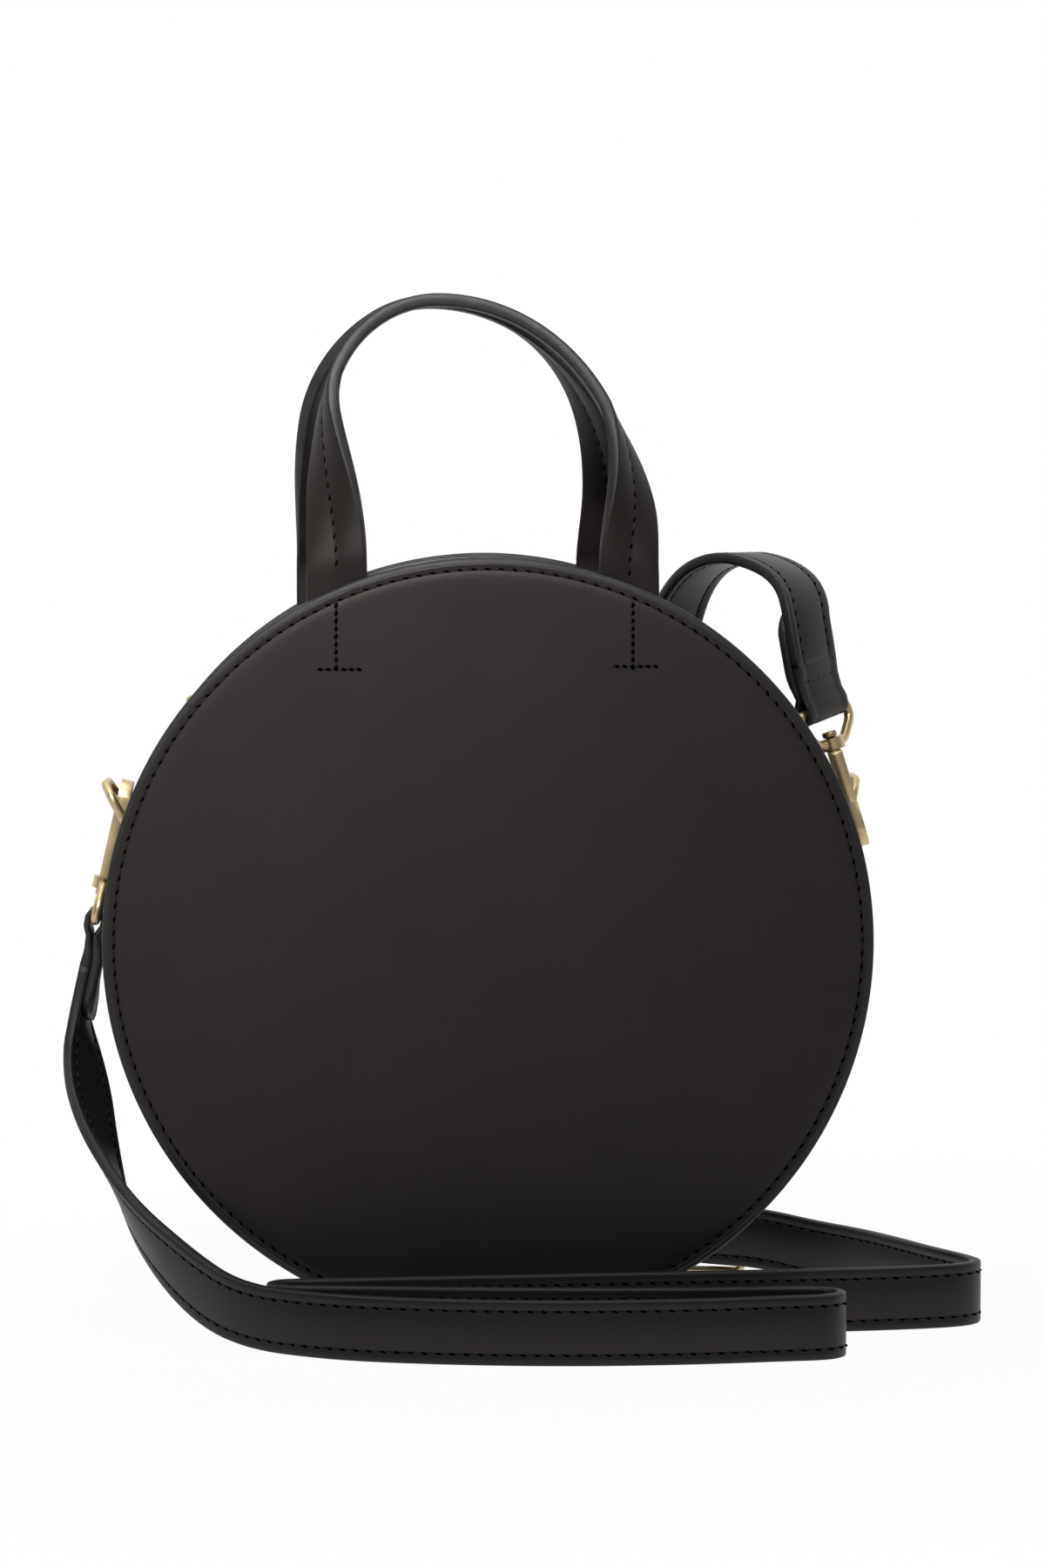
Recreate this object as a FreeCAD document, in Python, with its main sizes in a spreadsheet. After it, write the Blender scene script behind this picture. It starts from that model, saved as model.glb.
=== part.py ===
import FreeCAD, Part
import math
import os

import Sketcher

# A round leather bag with a zip along its top, two top handles and a clip-on shoulder strap.
# The bag stands on the floor at z = 0, its axis runs along Y, and its front looks towards -Y.

V = FreeCAD.Vector
X_AXIS = V(1, 0, 0)
Y_AXIS = V(0, 1, 0)
Z_AXIS = V(0, 0, 1)
QUARTER_TURN = 90.0

# Driving dimensions, in millimetres and degrees
SIZES = {
    # round body
    "panel_diameter": 220.0,
    "bag_depth": 76.0,
    "panel_thickness": 2.4,
    "panel_edge_round": 1.0,
    "stitch_inset": 3.4,
    "stitch_groove_width": 0.8,
    "stitch_groove_depth": 0.3,
    "board_thickness": 1.4,
    "board_margin": 6.5,
    "lining_thickness": 0.6,
    "pocket_diameter": 180.0,
    "pocket_top": 128.0,
    "gusset_inset": 4.0,
    "gusset_thickness": 1.6,
    "flange_inset": 0.6,
    "overrun": 2.0,
    "fit_gap": 0.3,
    "running_gap": 0.08,
    # zip
    "zip_start_angle": 24.0,
    "zip_end_angle": 156.0,
    "zip_opening": 12.0,
    "zip_tape_width": 15.0,
    "zip_tape_thickness": 1.0,
    "zip_row_gap": 1.4,
    "zip_tooth_length": 2.3,
    "zip_tooth_height": 1.6,
    "zip_tooth_width": 1.5,
    "zip_tooth_pitch": 2.8,
    "zip_bead_height": 0.7,
    "zip_stop_length": 3.0,
    "slider_rest_angle": 140.0,
    "slider_length": 9.0,
    "slider_width": 8.0,
    "slider_plate": 1.2,
    "slider_post_length": 3.0,
    "slider_post_width": 0.8,
    "slider_lug_width": 1.0,
    "slider_lug_length": 2.8,
    "pull_pin_diameter": 1.2,
    "pull_pin_rise": 1.7,
    "pull_eye_diameter": 2.8,
    "pull_width": 5.0,
    "pull_neck_width": 3.2,
    "pull_thickness": 1.2,
    "pull_length": 20.0,
    # handles
    "handle_width": 17.0,
    "handle_thickness": 3.6,
    "handle_spread": 83.0,
    "handle_offset": 1.5,
    "handle_left_bow": 2.7,
    "handle_right_bow": 0.8,
    "back_handle_shift": 4.0,
    "handle_axis_drop": 2.0,
    "handle_rise": 75.4,
    "handle_apex_offset": 14.0,
    "handle_top_gap": 0.5,
    "anchor_depth": 30.0,
    # side tabs and their rings
    "tab_angle": 17.0,
    "tab_width": 10.0,
    "tab_length": 38.0,
    "tab_layer": 1.2,
    "d_ring_inner_width": 21.0,
    "d_ring_height": 13.5,
    "d_ring_limb": 10.4,
    "d_ring_top_width": 14.0,
    "d_ring_wire": 2.6,
    "d_ring_corner_radius": 1.6,
    "d_ring_crown_radius": 3.6,
    "left_d_ring_angle": 118.0,
    "right_d_ring_angle": 76.0,
    # swivel clasps
    "hook_length": 29.0,
    "hook_width": 12.0,
    "hook_thickness": 3.6,
    "hook_bar": 2.4,
    "hook_head": 7.5,
    "hook_nose": 13.4,
    "left_hook_seat": 5.4,
    "right_hook_seat": 6.4,
    "hook_wire_offset": -0.5,
    "left_hook_wire_height": 7.6,
    "right_hook_wire_height": 12.6,
    "left_hang_turn": 4.0,
    "trigger_slot": 2.0,
    "trigger_pin_drop": 4.0,
    "trigger_pin_diameter": 1.6,
    "trigger_eye_diameter": 4.4,
    "swivel_boss_diameter": 7.0,
    "swivel_boss_height": 3.4,
    "swivel_shaft_diameter": 3.4,
    "swivel_head_diameter": 6.0,
    "swivel_head_height": 1.6,
    "swivel_ring_wire": 2.8,
    "swivel_ring_inner_width": 19.4,
    "swivel_ring_height": 10.5,
    "swivel_ring_limb": 5.0,
    "swivel_ring_foot_width": 11.0,
    "swivel_ring_top_radius": 2.4,
    "swivel_ring_foot_radius": 4.5,
    # shoulder strap
    "strap_width": 18.0,
    "strap_thickness": 3.2,
    "strap_layer": 1.6,
    "strap_end_length": 14.0,
    "strap_end_leg": 3.0,
    "strap_lead": 11.0,
    # pin buckle
    "buckle_length": 20.0,
    "buckle_rise": 4.6,
    "buckle_wire": 2.4,
    "buckle_side_gap": 0.7,
    "buckle_corner_radius": 2.0,
    "prong_diameter": 2.2,
    "prong_overhang": 1.2,
    "prong_slot_width": 4.0,
    "prong_slot_start": 3.0,
    "prong_slot_end": 17.5,
    "keeper_length": 5.0,
    "keeper_wall": 1.2,
    "keeper_set_back": 12.0,
}

doc = FreeCAD.newDocument("circle_bag")
sheet = doc.addObject("Spreadsheet::Sheet", "sizes")
for row, (alias, value) in enumerate(SIZES.items(), start=1):
    sheet.set(f"A{row}", alias)
    sheet.set(f"B{row}", str(value))
    sheet.setAlias(f"B{row}", alias)
doc.recompute()


def size(alias):
    """The value that the sheet holds."""
    return float(sheet.get(alias))


pieces = {}

# Places that several pieces share, as expressions on the sheet
RADIUS = "sizes.panel_diameter / 2"
FRONT_INSIDE = "(sizes.panel_thickness - sizes.bag_depth / 2)"
GUSSET_RADIUS = "(sizes.panel_diameter / 2 - sizes.gusset_inset)"
GUSSET_INSIDE = "(sizes.panel_diameter / 2 - sizes.gusset_inset - sizes.gusset_thickness)"
FLANGE_RADIUS = "(sizes.panel_diameter / 2 - sizes.flange_inset)"
BOARD_RADIUS = "(sizes.panel_diameter / 2 - sizes.board_margin)"
CAVITY_DEPTH = "(sizes.bag_depth - 2 * sizes.panel_thickness)"

# The same places as numbers
radius = size("panel_diameter") / 2
half_depth = size("bag_depth") / 2
inside_face = half_depth - size("panel_thickness")
gusset_radius = radius - size("gusset_inset")
gusset_inside = gusset_radius - size("gusset_thickness")
fit_gap = size("fit_gap")
running_gap = size("running_gap")
overrun = size("overrun")


# Helpers

def keep(label, feature):
    """Lists a document object as a sub-part under its node's name."""
    feature.Label = label
    pieces[label] = feature
    return feature


def made(label, shape, placement=None):
    """A sub-part whose shape is worked out from the sheet's sizes."""
    feature = doc.addObject("Part::Feature", label)
    feature.Shape = shape
    if placement is not None:
        feature.Placement = placement
    return keep(label, feature)


def drum(name, drum_radius, depth, back_face, start=0.0, sweep=None):
    """A disc on the bag's axis that reaches from its back face towards the front."""
    solid = doc.addObject("Part::Cylinder", name)
    turn = FreeCAD.Rotation(X_AXIS, QUARTER_TURN).multiply(FreeCAD.Rotation(Z_AXIS, start))
    solid.Placement = FreeCAD.Placement(V(), turn)
    solid.setExpression("Radius", drum_radius)
    solid.setExpression("Height", depth)
    solid.setExpression("Placement.Base.y", back_face)
    solid.setExpression("Placement.Base.z", RADIUS)
    if sweep:
        solid.setExpression("Angle", sweep)
    return solid


def cut(name, base, tool):
    feature = doc.addObject("Part::Cut", name)
    feature.Base = base
    feature.Tool = tool
    return feature


def fuse(name, shapes):
    feature = doc.addObject("Part::MultiFuse", name)
    feature.Shapes = shapes
    feature.Refine = True
    return feature


def mirror(label, source, normal):
    """The same piece on the other side of the bag."""
    feature = doc.addObject("Part::Mirroring", label)
    feature.Source = source
    feature.Normal = normal
    return keep(label, feature)


def band(name, outer, inner, depth, back_face, start, sweep):
    """A stretch of a round band, between two angles counted from +X towards +Z."""
    rim = drum(name + "_rim", outer, depth, back_face, start, sweep)
    core = drum(name + "_core", inner, f"{depth} + 2 * sizes.overrun", f"{back_face} + sizes.overrun")
    return cut(name, rim, core)


def sector(outer, inner, depth, back_face, start, sweep):
    """A stretch of a round band as a shape, from its back face towards the front."""
    ring = Part.makeCylinder(outer, depth, V(), Z_AXIS, sweep)
    ring = ring.cut(Part.makeCylinder(inner, depth, V(), Z_AXIS))
    turn = FreeCAD.Rotation(X_AXIS, QUARTER_TURN).multiply(FreeCAD.Rotation(Z_AXIS, start))
    ring.Placement = FreeCAD.Placement(V(0, back_face, radius), turn)
    return ring


def block(length, width, height, corner):
    return Part.makeBox(length, width, height, corner)


def peg(peg_radius, length, start, direction):
    return Part.makeCylinder(peg_radius, length, start, direction)


def frame_at(origin, across, along):
    """A placement with local X across, local Z along and local Y square to both."""
    along = V(along).normalize()
    across = V(across) - along * across.dot(along)
    across.normalize()
    third = along.cross(across)
    matrix = FreeCAD.Matrix(
        across.x, third.x, along.x, origin.x,
        across.y, third.y, along.y, origin.y,
        across.z, third.z, along.z, origin.z,
        0, 0, 0, 1,
    )
    return FreeCAD.Placement(matrix)


def polar(distance, angle, y=0.0):
    """A point at a distance and an angle from the bag's axis."""
    turn = math.radians(angle)
    return V(distance * math.cos(turn), y, radius + distance * math.sin(turn))


def wire_loop(corners, radii, wire_radius):
    """A closed ring of round wire along straight runs and the arcs that round its corners."""
    count = len(corners)
    edges = []
    starts, ends = [], []
    for index, corner in enumerate(corners):
        back = (corners[index - 1] - corner).normalize()
        ahead = (corners[(index + 1) % count] - corner).normalize()
        half_angle = back.getAngle(ahead) / 2
        reach = radii[index] / math.tan(half_angle)
        middle = (back + ahead).normalize() * (radii[index] / math.sin(half_angle) - radii[index])
        starts.append(corner + back * reach)
        ends.append(corner + ahead * reach)
        edges.append(Part.Arc(starts[-1], corner + middle, ends[-1]).toShape())
    for index in range(count):
        edges.append(Part.LineSegment(ends[index], starts[(index + 1) % count]).toShape())
    path = Part.Wire(Part.__sortEdges__(edges))
    first = path.OrderedEdges[0]
    start = first.valueAt(first.FirstParameter)
    heading = first.tangentAt(first.FirstParameter)
    profile = Part.Wire([Part.Circle(start, heading, wire_radius).toShape()])
    return path.makePipeShell([profile], True, True)


# Round panels, with a sunk line for the stitches

def panel(label, outward):
    """A leather disc; its sunk stitch line is on the face that looks outward."""
    body = doc.addObject("PartDesign::Body", label)
    plane = next(f for f in body.Origin.OriginFeatures if f.Role == "XZ_Plane")
    body.setExpression("Placement.Base.z", RADIUS)
    body.setExpression("Placement.Base.y", FRONT_INSIDE if outward < 0 else "sizes.bag_depth / 2")

    def sketch_with(name, circles, height):
        sketch = body.newObject("Sketcher::SketchObject", name)
        sketch.AttachmentSupport = [(plane, "")]
        sketch.MapMode = "FlatFace"
        sketch.setExpression("AttachmentOffset.Base.z", height)
        for expression, value in circles:
            index = sketch.addGeometry(Part.Circle(V(), Z_AXIS, value))
            sketch.addConstraint(Sketcher.Constraint("Coincident", index, 3, -1, 1))
            bound = sketch.addConstraint(Sketcher.Constraint("Radius", index, value))
            sketch.setExpression(f"Constraints[{bound}]", expression)
        return sketch

    outline = sketch_with(label + "_outline", [(RADIUS, radius)], "0")
    pad = body.newObject("PartDesign::Pad", label + "_pad")
    pad.Profile = outline
    pad.setExpression("Length", "sizes.panel_thickness")
    doc.recompute()
    rims = [
        f"Edge{number}"
        for number, edge in enumerate(pad.Shape.Edges, start=1)
        if edge.Curve.TypeId == "Part::GeomCircle" and len(edge.Vertexes) == 1
    ]
    rounding = body.newObject("PartDesign::Fillet", label + "_edge")
    rounding.Base = (pad, rims)
    rounding.setExpression("Radius", "sizes.panel_edge_round")
    stitch_line = "sizes.panel_diameter / 2 - sizes.stitch_inset"
    half_groove = "sizes.stitch_groove_width / 2"
    line_radius = radius - size("stitch_inset")
    half_width = size("stitch_groove_width") / 2
    ring = [
        (f"{stitch_line} + {half_groove}", line_radius + half_width),
        (f"{stitch_line} - {half_groove}", line_radius - half_width),
    ]
    groove_height = "sizes.panel_thickness" if outward < 0 else "0"
    groove_sketch = sketch_with(label + "_stitch_ring", ring, groove_height)
    groove = body.newObject("PartDesign::Pocket", label + "_stitch_line")
    groove.Profile = groove_sketch
    groove.setExpression("Length", "sizes.stitch_groove_depth")
    groove.Reversed = outward > 0
    doc.recompute()
    if groove.Shape.Volume >= rounding.Shape.Volume:
        raise ValueError(f"{label}: the stitch line cuts nothing")
    return keep(label, body)


panel("front_panel", -1)
panel("back_panel", 1)


# Handle roots, boards, linings and the slip pocket

def anchor_boxes(name, gap, shift):
    """The two flat roots of a handle, sewn behind a panel and set over to the left by the shift."""
    boxes = []
    for side in (-1, 1):
        root = doc.addObject("Part::Box", f"{name}_{'left' if side < 0 else 'right'}")
        root.setExpression("Length", f"sizes.handle_width + 2 * {gap}")
        root.setExpression("Width", f"sizes.board_thickness + {gap}")
        root.setExpression("Height", f"sizes.anchor_depth + {gap}")
        root.setExpression(
            "Placement.Base.x",
            f"{side} * sizes.handle_spread / 2 - sizes.handle_offset - sizes.handle_width / 2"
            f" - {shift} - {gap}",
        )
        root.setExpression("Placement.Base.y", FRONT_INSIDE)
        root.setExpression(
            "Placement.Base.z",
            "sizes.panel_diameter - sizes.handle_axis_drop - sizes.handle_thickness / 2 - sizes.fit_gap"
            f" - sizes.anchor_depth - {gap}",
        )
        boxes.append(root)
    return fuse(name, boxes)


BACK_SHIFT = "sizes.back_handle_shift"

keep("front_handle_anchors", anchor_boxes("front_handle_anchors", "0", "0"))
rear_anchors = anchor_boxes("rear_anchors", "0", BACK_SHIFT)
anchor_room = anchor_boxes("anchor_room", "sizes.fit_gap", "0")
rear_anchor_room = anchor_boxes("rear_anchor_room", "sizes.fit_gap", BACK_SHIFT)

board_blank = drum("board_blank", BOARD_RADIUS, "sizes.board_thickness",
                   f"{FRONT_INSIDE} + sizes.board_thickness")
keep("front_board", cut("front_board", board_blank, anchor_room))
rear_board = cut("rear_board", board_blank, rear_anchor_room)
front_lining = keep("front_lining", drum(
    "front_lining", BOARD_RADIUS, "sizes.lining_thickness",
    f"{FRONT_INSIDE} + sizes.board_thickness + sizes.lining_thickness"))

pocket_disc = drum("pocket_disc", "sizes.pocket_diameter / 2", "sizes.lining_thickness",
                   f"-{FRONT_INSIDE} - sizes.board_thickness - sizes.lining_thickness")
pocket_side = doc.addObject("Part::Box", "pocket_side")
pocket_side.setExpression("Length", "sizes.pocket_diameter")
pocket_side.setExpression("Width", "sizes.bag_depth")
pocket_side.setExpression("Height", "sizes.pocket_top")
pocket_side.setExpression("Placement.Base.x", "-sizes.pocket_diameter / 2")
inner_pocket = doc.addObject("Part::Common", "inner_pocket")
inner_pocket.Base = pocket_disc
inner_pocket.Tool = pocket_side
keep("inner_pocket", inner_pocket)

# Gusset: a lower stretch and two strips beside the zip, their edges turned out behind the panels

zip_start = size("zip_start_angle")
zip_end = size("zip_end_angle")
ZIP_SWEEP = "sizes.zip_end_angle - sizes.zip_start_angle"
LOWER_SWEEP = "360 - sizes.zip_end_angle + sizes.zip_start_angle"
FLANGE_BACK = f"{FRONT_INSIDE} + sizes.gusset_thickness"

lower_wall = band("lower_wall", GUSSET_RADIUS, GUSSET_INSIDE, CAVITY_DEPTH, f"-{FRONT_INSIDE}",
                  zip_end, LOWER_SWEEP)
lower_front = band("lower_front_flange", FLANGE_RADIUS, GUSSET_INSIDE, "sizes.gusset_thickness",
                   FLANGE_BACK, zip_end, LOWER_SWEEP)
lower_back = band("lower_back_flange", FLANGE_RADIUS, GUSSET_INSIDE, "sizes.gusset_thickness",
                  f"-{FRONT_INSIDE}", zip_end, LOWER_SWEEP)
keep("lower_gusset", fuse("lower_gusset", [lower_wall, lower_front, lower_back]))
keep("gusset_lining", band(
    "gusset_lining", GUSSET_INSIDE, f"{GUSSET_INSIDE} - sizes.lining_thickness",
    f"({CAVITY_DEPTH} - 2 * sizes.board_thickness - 2 * sizes.lining_thickness)",
    f"-{FRONT_INSIDE} - sizes.board_thickness - sizes.lining_thickness", zip_end, LOWER_SWEEP))

zip_wall = band("zip_wall", GUSSET_RADIUS, GUSSET_INSIDE, f"({CAVITY_DEPTH} - sizes.zip_opening) / 2",
                "-sizes.zip_opening / 2", zip_start, ZIP_SWEEP)
zip_flange = band("zip_flange", FLANGE_RADIUS, GUSSET_INSIDE, "sizes.gusset_thickness", FLANGE_BACK,
                  zip_start, ZIP_SWEEP)
zip_strip = fuse("zip_strip", [zip_wall, zip_flange])
keep("front_zip_gusset", cut("front_zip_gusset", zip_strip, anchor_room))
rear_zip_gusset = cut("rear_zip_gusset", zip_strip, rear_anchor_room)

# Zip: tapes, rows of teeth, stops, slider and pull

WAIST_SHARE = 0.7
SHOULDER_SHARE = 0.35

front_zip_tape = keep("front_zip_tape", band(
    "front_zip_tape", GUSSET_INSIDE, f"{GUSSET_INSIDE} - sizes.zip_tape_thickness",
    "sizes.zip_tape_width", "-sizes.zip_row_gap / 2", zip_start, ZIP_SWEEP))


def zip_frame(angle):
    """Local Z points away from the bag's axis, local Y along it and local X round the bag."""
    return frame_at(polar(gusset_inside, angle), V(polar(1, angle + QUARTER_TURN) - polar(0, 0)),
                    polar(1, angle) - polar(0, 0))


def zip_teeth(label, side):
    """A row of teeth on a thin bead along the inner edge of a tape."""
    tooth_length = size("zip_tooth_length")
    row_edge = size("zip_row_gap") / 2
    low = -row_edge - tooth_length if side > 0 else row_edge
    reach = math.degrees(size("zip_stop_length") / gusset_inside)
    first, last = zip_start + reach, zip_end - reach
    pitch = math.degrees(size("zip_tooth_pitch") / gusset_inside)
    bead = sector(gusset_inside + size("zip_bead_height"), gusset_inside, tooth_length, -low, first,
                  last - first)
    count = int((last - first) / pitch)
    margin = (last - first - (count - 1) * pitch) / 2
    width = size("zip_tooth_width")
    teeth = []
    for number in range(count):
        tooth = block(width, tooth_length, size("zip_tooth_height"), V(-width / 2, low, 0))
        tooth.Placement = zip_frame(first + margin + number * pitch)
        teeth.append(tooth)
    return made(label, bead.multiFuse(teeth).removeSplitter())


zip_teeth("front_zip_teeth", -1)
zip_teeth("back_zip_teeth", 1)

stop_length = size("zip_stop_length")
stop_width = size("zip_row_gap") + 2 * size("zip_tooth_length")
stop_half_turn = math.degrees(stop_length / gusset_inside) / 2
stops = []
for stop_angle in (zip_start + stop_half_turn, zip_end - stop_half_turn):
    stop = block(stop_length, stop_width, size("zip_tooth_height"), V(-stop_length / 2, -stop_width / 2, 0))
    stop.Placement = zip_frame(stop_angle)
    stops.append(stop)
made("zip_stops", Part.makeCompound(stops))

slider_length = size("slider_length")
slider_width = size("slider_width")
slider_plate = size("slider_plate")
curve_sag = (slider_length / 2) ** 2 / (2 * gusset_inside)
plate_top_low = size("zip_tooth_height") + fit_gap
plate_bottom_high = -size("zip_tape_thickness") - fit_gap - curve_sag
pin_radius = size("pull_pin_diameter") / 2
pin_height = plate_top_low + slider_plate + size("pull_pin_rise")
pull_eye_radius = size("pull_eye_diameter") / 2
pull_neck = size("pull_neck_width")
lug_width = size("slider_lug_width")
lug_length = size("slider_lug_length")
lug_low = pull_neck / 2 + fit_gap
lug_place = slider_length / 2 - lug_length


def zip_slider():
    """Two plates on a thin post, with two lugs that carry the pull's pin."""
    half_length, half_width = slider_length / 2, slider_width / 2
    plan = [V(-half_length, -half_width, 0), V(half_length, -half_width * WAIST_SHARE, 0),
            V(half_length, half_width * WAIST_SHARE, 0), V(-half_length, half_width, 0)]
    face = Part.Face(Part.makePolygon(plan + plan[:1]))
    plates = []
    for height in (plate_top_low, plate_bottom_high - slider_plate):
        plate = face.extrude(V(0, 0, slider_plate))
        plate.translate(V(0, 0, height))
        plates.append(plate)
    post_length, post_width = size("slider_post_length"), size("slider_post_width")
    post = block(post_length, post_width, plate_top_low - plate_bottom_high,
                 V(-half_length, -post_width / 2, plate_bottom_high))
    body = plates[0].multiFuse([plates[1], post])
    for low in (lug_low, -lug_low - lug_width):
        lug = block(lug_length, lug_width, pin_height - plate_top_low, V(lug_place, low, plate_top_low))
        crown = peg(lug_length / 2, lug_width, V(lug_place + lug_length / 2, low, pin_height), Y_AXIS)
        body = body.fuse(lug).fuse(crown)
    pin = peg(pin_radius, 2 * lug_low, V(lug_place + lug_length / 2, -lug_low, pin_height), Y_AXIS)
    return body.fuse(pin).removeSplitter()


def zip_pull():
    """A flat tab that hangs from the slider's pin."""
    eye_place = V(lug_place + lug_length / 2, -pull_neck / 2, pin_height)
    eye = peg(pull_eye_radius, pull_neck, eye_place, Y_AXIS)
    half_neck, half_width = pull_neck / 2, size("pull_width") / 2
    start = eye_place.x
    length = size("pull_length")
    shoulder = start + length * SHOULDER_SHARE
    plan = [V(start, -half_neck, 0), V(shoulder, -half_neck, 0),
            V(start + length - half_width, -half_width, 0)]
    tip = V(start + length, 0, 0)
    edges = [Part.makePolygon(plan),
             Part.Arc(plan[-1], tip, V(plan[-1].x, half_width, 0)).toShape(),
             Part.makePolygon([V(p.x, -p.y, 0) for p in reversed(plan)] + plan[:1])]
    thickness = size("pull_thickness")
    blade = Part.Face(Part.Wire(Part.__sortEdges__([e for part in edges for e in part.Edges])))
    blade = blade.extrude(V(0, 0, thickness))
    blade.translate(V(0, 0, pin_height - thickness / 2))
    room = peg(pin_radius + running_gap, pull_neck, eye_place, Y_AXIS)
    return eye.fuse(blade).cut(room).removeSplitter()


slider_frame = zip_frame(size("slider_rest_angle"))
made("zip_slider", zip_slider(), slider_frame)
made("zip_pull", zip_pull(), slider_frame)

# Handle: a folded strap that leaves the panel flat and turns its edge to the front along the arch

CURVE_STEPS = 5
LEG_STEPS = 3
LEFT_TWIST_SHARE = 0.7
RIGHT_TWIST_SHARE = 0.5
LEFT_CURVE_SHARE = 0.45
RIGHT_CURVE_SHARE = 0.79
SHIFT_FADE_SHARE = 0.75


def handle_stations(shift):
    """Centre line from the left root to the right one, each point with how far up it stands.

    The shift sets the roots over to the left, and fades towards the top of the arch."""
    half_spread, offset = size("handle_spread") / 2, size("handle_offset")
    bow = size("handle_left_bow")
    low = size("panel_diameter") - size("handle_axis_drop")
    rise = size("handle_rise")
    apex = -size("handle_apex_offset")
    left_reach = half_spread + offset + bow + apex
    right_reach = half_spread - offset + size("handle_right_bow") - apex
    left_leg, right_leg = rise * (1 - LEFT_CURVE_SHARE), rise * (1 - RIGHT_CURVE_SHARE)
    line = []
    for step in range(LEG_STEPS):
        leg_share = step / LEG_STEPS
        line.append((-half_spread - offset - bow * leg_share, low + left_leg * leg_share))
    for step in range(CURVE_STEPS + 1):
        turn = math.radians(QUARTER_TURN * step / CURVE_STEPS)
        line.append((apex - left_reach * math.cos(turn),
                     low + left_leg + (rise - left_leg) * math.sin(turn)))
    for step in range(1, CURVE_STEPS + 1):
        turn = math.radians(QUARTER_TURN * step / CURVE_STEPS)
        line.append((apex + right_reach * math.sin(turn),
                     low + right_leg + (rise - right_leg) * math.cos(turn)))
    line.append((half_spread - offset, low))
    root_y = -inside_face + size("board_thickness") / 2
    top_y = -size("handle_width") / 2 - size("handle_top_gap") / 2
    stations = []
    for x, z in line:
        rise_share = (z - low) / rise
        aside = shift * (1 - SHIFT_FADE_SHARE * rise_share)
        stations.append((V(x - aside, root_y + (top_y - root_y) * rise_share, z), rise_share, x < apex))
    return stations


def flat_section(point, heading, side, width, thickness):
    """A rectangle square to the heading, its width along the side direction."""
    side = side - heading * side.dot(heading)
    side.normalize()
    face = heading.cross(side)
    half_side, half_face = side * (width / 2), face * (thickness / 2)
    corners = [point - half_side - half_face, point + half_side - half_face,
               point + half_side + half_face, point - half_side + half_face]
    return Part.makePolygon(corners + corners[:1])


def handle_arch(shift):
    """The handle of the front panel, with its roots set over by the shift."""
    width, thickness = size("handle_width"), size("handle_thickness")
    stations = handle_stations(shift)
    points = [station[0] for station in stations]
    last = len(points) - 1
    sections = []
    for index, (point, rise_share, on_left) in enumerate(stations):
        if index in (0, last):
            heading = Z_AXIS if on_left else -Z_AXIS
        else:
            heading = (points[index + 1] - points[index - 1]).normalize()
        twist_share = min(1, rise_share / (LEFT_TWIST_SHARE if on_left else RIGHT_TWIST_SHARE))
        twist = math.radians(QUARTER_TURN) * (1 - (1 - twist_share) ** 2)
        side = V(math.cos(twist) if on_left else -math.cos(twist), -math.sin(twist), 0)
        sections.append(flat_section(point, heading, side, width, thickness))
    arch = Part.makeLoft(sections, True, True)
    knuckles = [peg(thickness / 2, width, points[end] - X_AXIS * (width / 2), X_AXIS) for end in (0, last)]
    return arch.multiFuse(knuckles)


made("front_handle", handle_arch(0))
made("back_handle", handle_arch(size("back_handle_shift")).mirror(V(), Y_AXIS))

# Side tabs: a folded leather strip on the gusset that holds the bar of a ring

wire = size("d_ring_wire")
tab_width = size("tab_width")
tab_layer = size("tab_layer")
fold_hole = wire / 2 + running_gap
fold_radius = fold_hole + tab_layer
bar_distance = gusset_radius + fold_radius
tab_angle = size("tab_angle")


def right_side_tab():
    sweep = math.degrees(size("tab_length") / gusset_radius)
    strip = sector(gusset_radius + 2 * tab_layer, gusset_radius, tab_width, tab_width / 2,
                   tab_angle - sweep, sweep)
    bar = polar(bar_distance, tab_angle, -tab_width / 2)
    fold = peg(fold_radius, tab_width, bar, Y_AXIS)
    hole = peg(fold_hole, tab_width, bar, Y_AXIS)
    return strip.fuse(fold).cut(hole).removeSplitter()


right_tab = made("right_side_tab", right_side_tab())


def d_ring():
    """Local X along the bar, local Z away from it."""
    half = size("d_ring_inner_width") / 2 + wire / 2
    limb, height, crown = size("d_ring_limb"), size("d_ring_height"), size("d_ring_top_width") / 2
    corners = [V(-half, 0, 0), V(half, 0, 0), V(half, 0, limb), V(crown, 0, height),
               V(-crown, 0, height), V(-half, 0, limb)]
    tight, wide = size("d_ring_corner_radius"), size("d_ring_crown_radius")
    return wire_loop(corners, [tight, tight, wide, wide, wide, wide], wire / 2)


def direction(angle):
    return polar(1, angle) - polar(0, 0)


left_bar = polar(bar_distance, 2 * QUARTER_TURN - tab_angle)
right_bar = polar(bar_distance, tab_angle)
left_ring_heading = direction(size("left_d_ring_angle"))
right_ring_heading = direction(size("right_d_ring_angle"))
made("left_d_ring", d_ring(), frame_at(left_bar, Y_AXIS, left_ring_heading))
made("right_d_ring", d_ring(), frame_at(right_bar, Y_AXIS, right_ring_heading))

# Swivel clasps: hook, trigger, pin, rivet and ring, in a frame whose Z runs from the hook to the ring

hook_length = size("hook_length")
hook_half = size("hook_width") / 2
hook_thickness = size("hook_thickness")
hook_bar = size("hook_bar")
hook_nose = size("hook_nose")
eye_top = hook_length - size("hook_head")
pin_place = V(0, 0, hook_length - size("trigger_pin_drop"))
boss_low = hook_length + fit_gap
boss_height = size("swivel_boss_height")
ring_foot = boss_low + boss_height / 2
ring_bar = ring_foot + size("swivel_ring_height")


def slab(face_edges, thickness):
    """A flat plate of an outline in the XZ plane, centred on it."""
    face = Part.Face(Part.Wire(Part.__sortEdges__(face_edges)))
    plate = face.extrude(V(0, thickness, 0))
    plate.translate(V(0, -thickness / 2, 0))
    return plate


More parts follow.
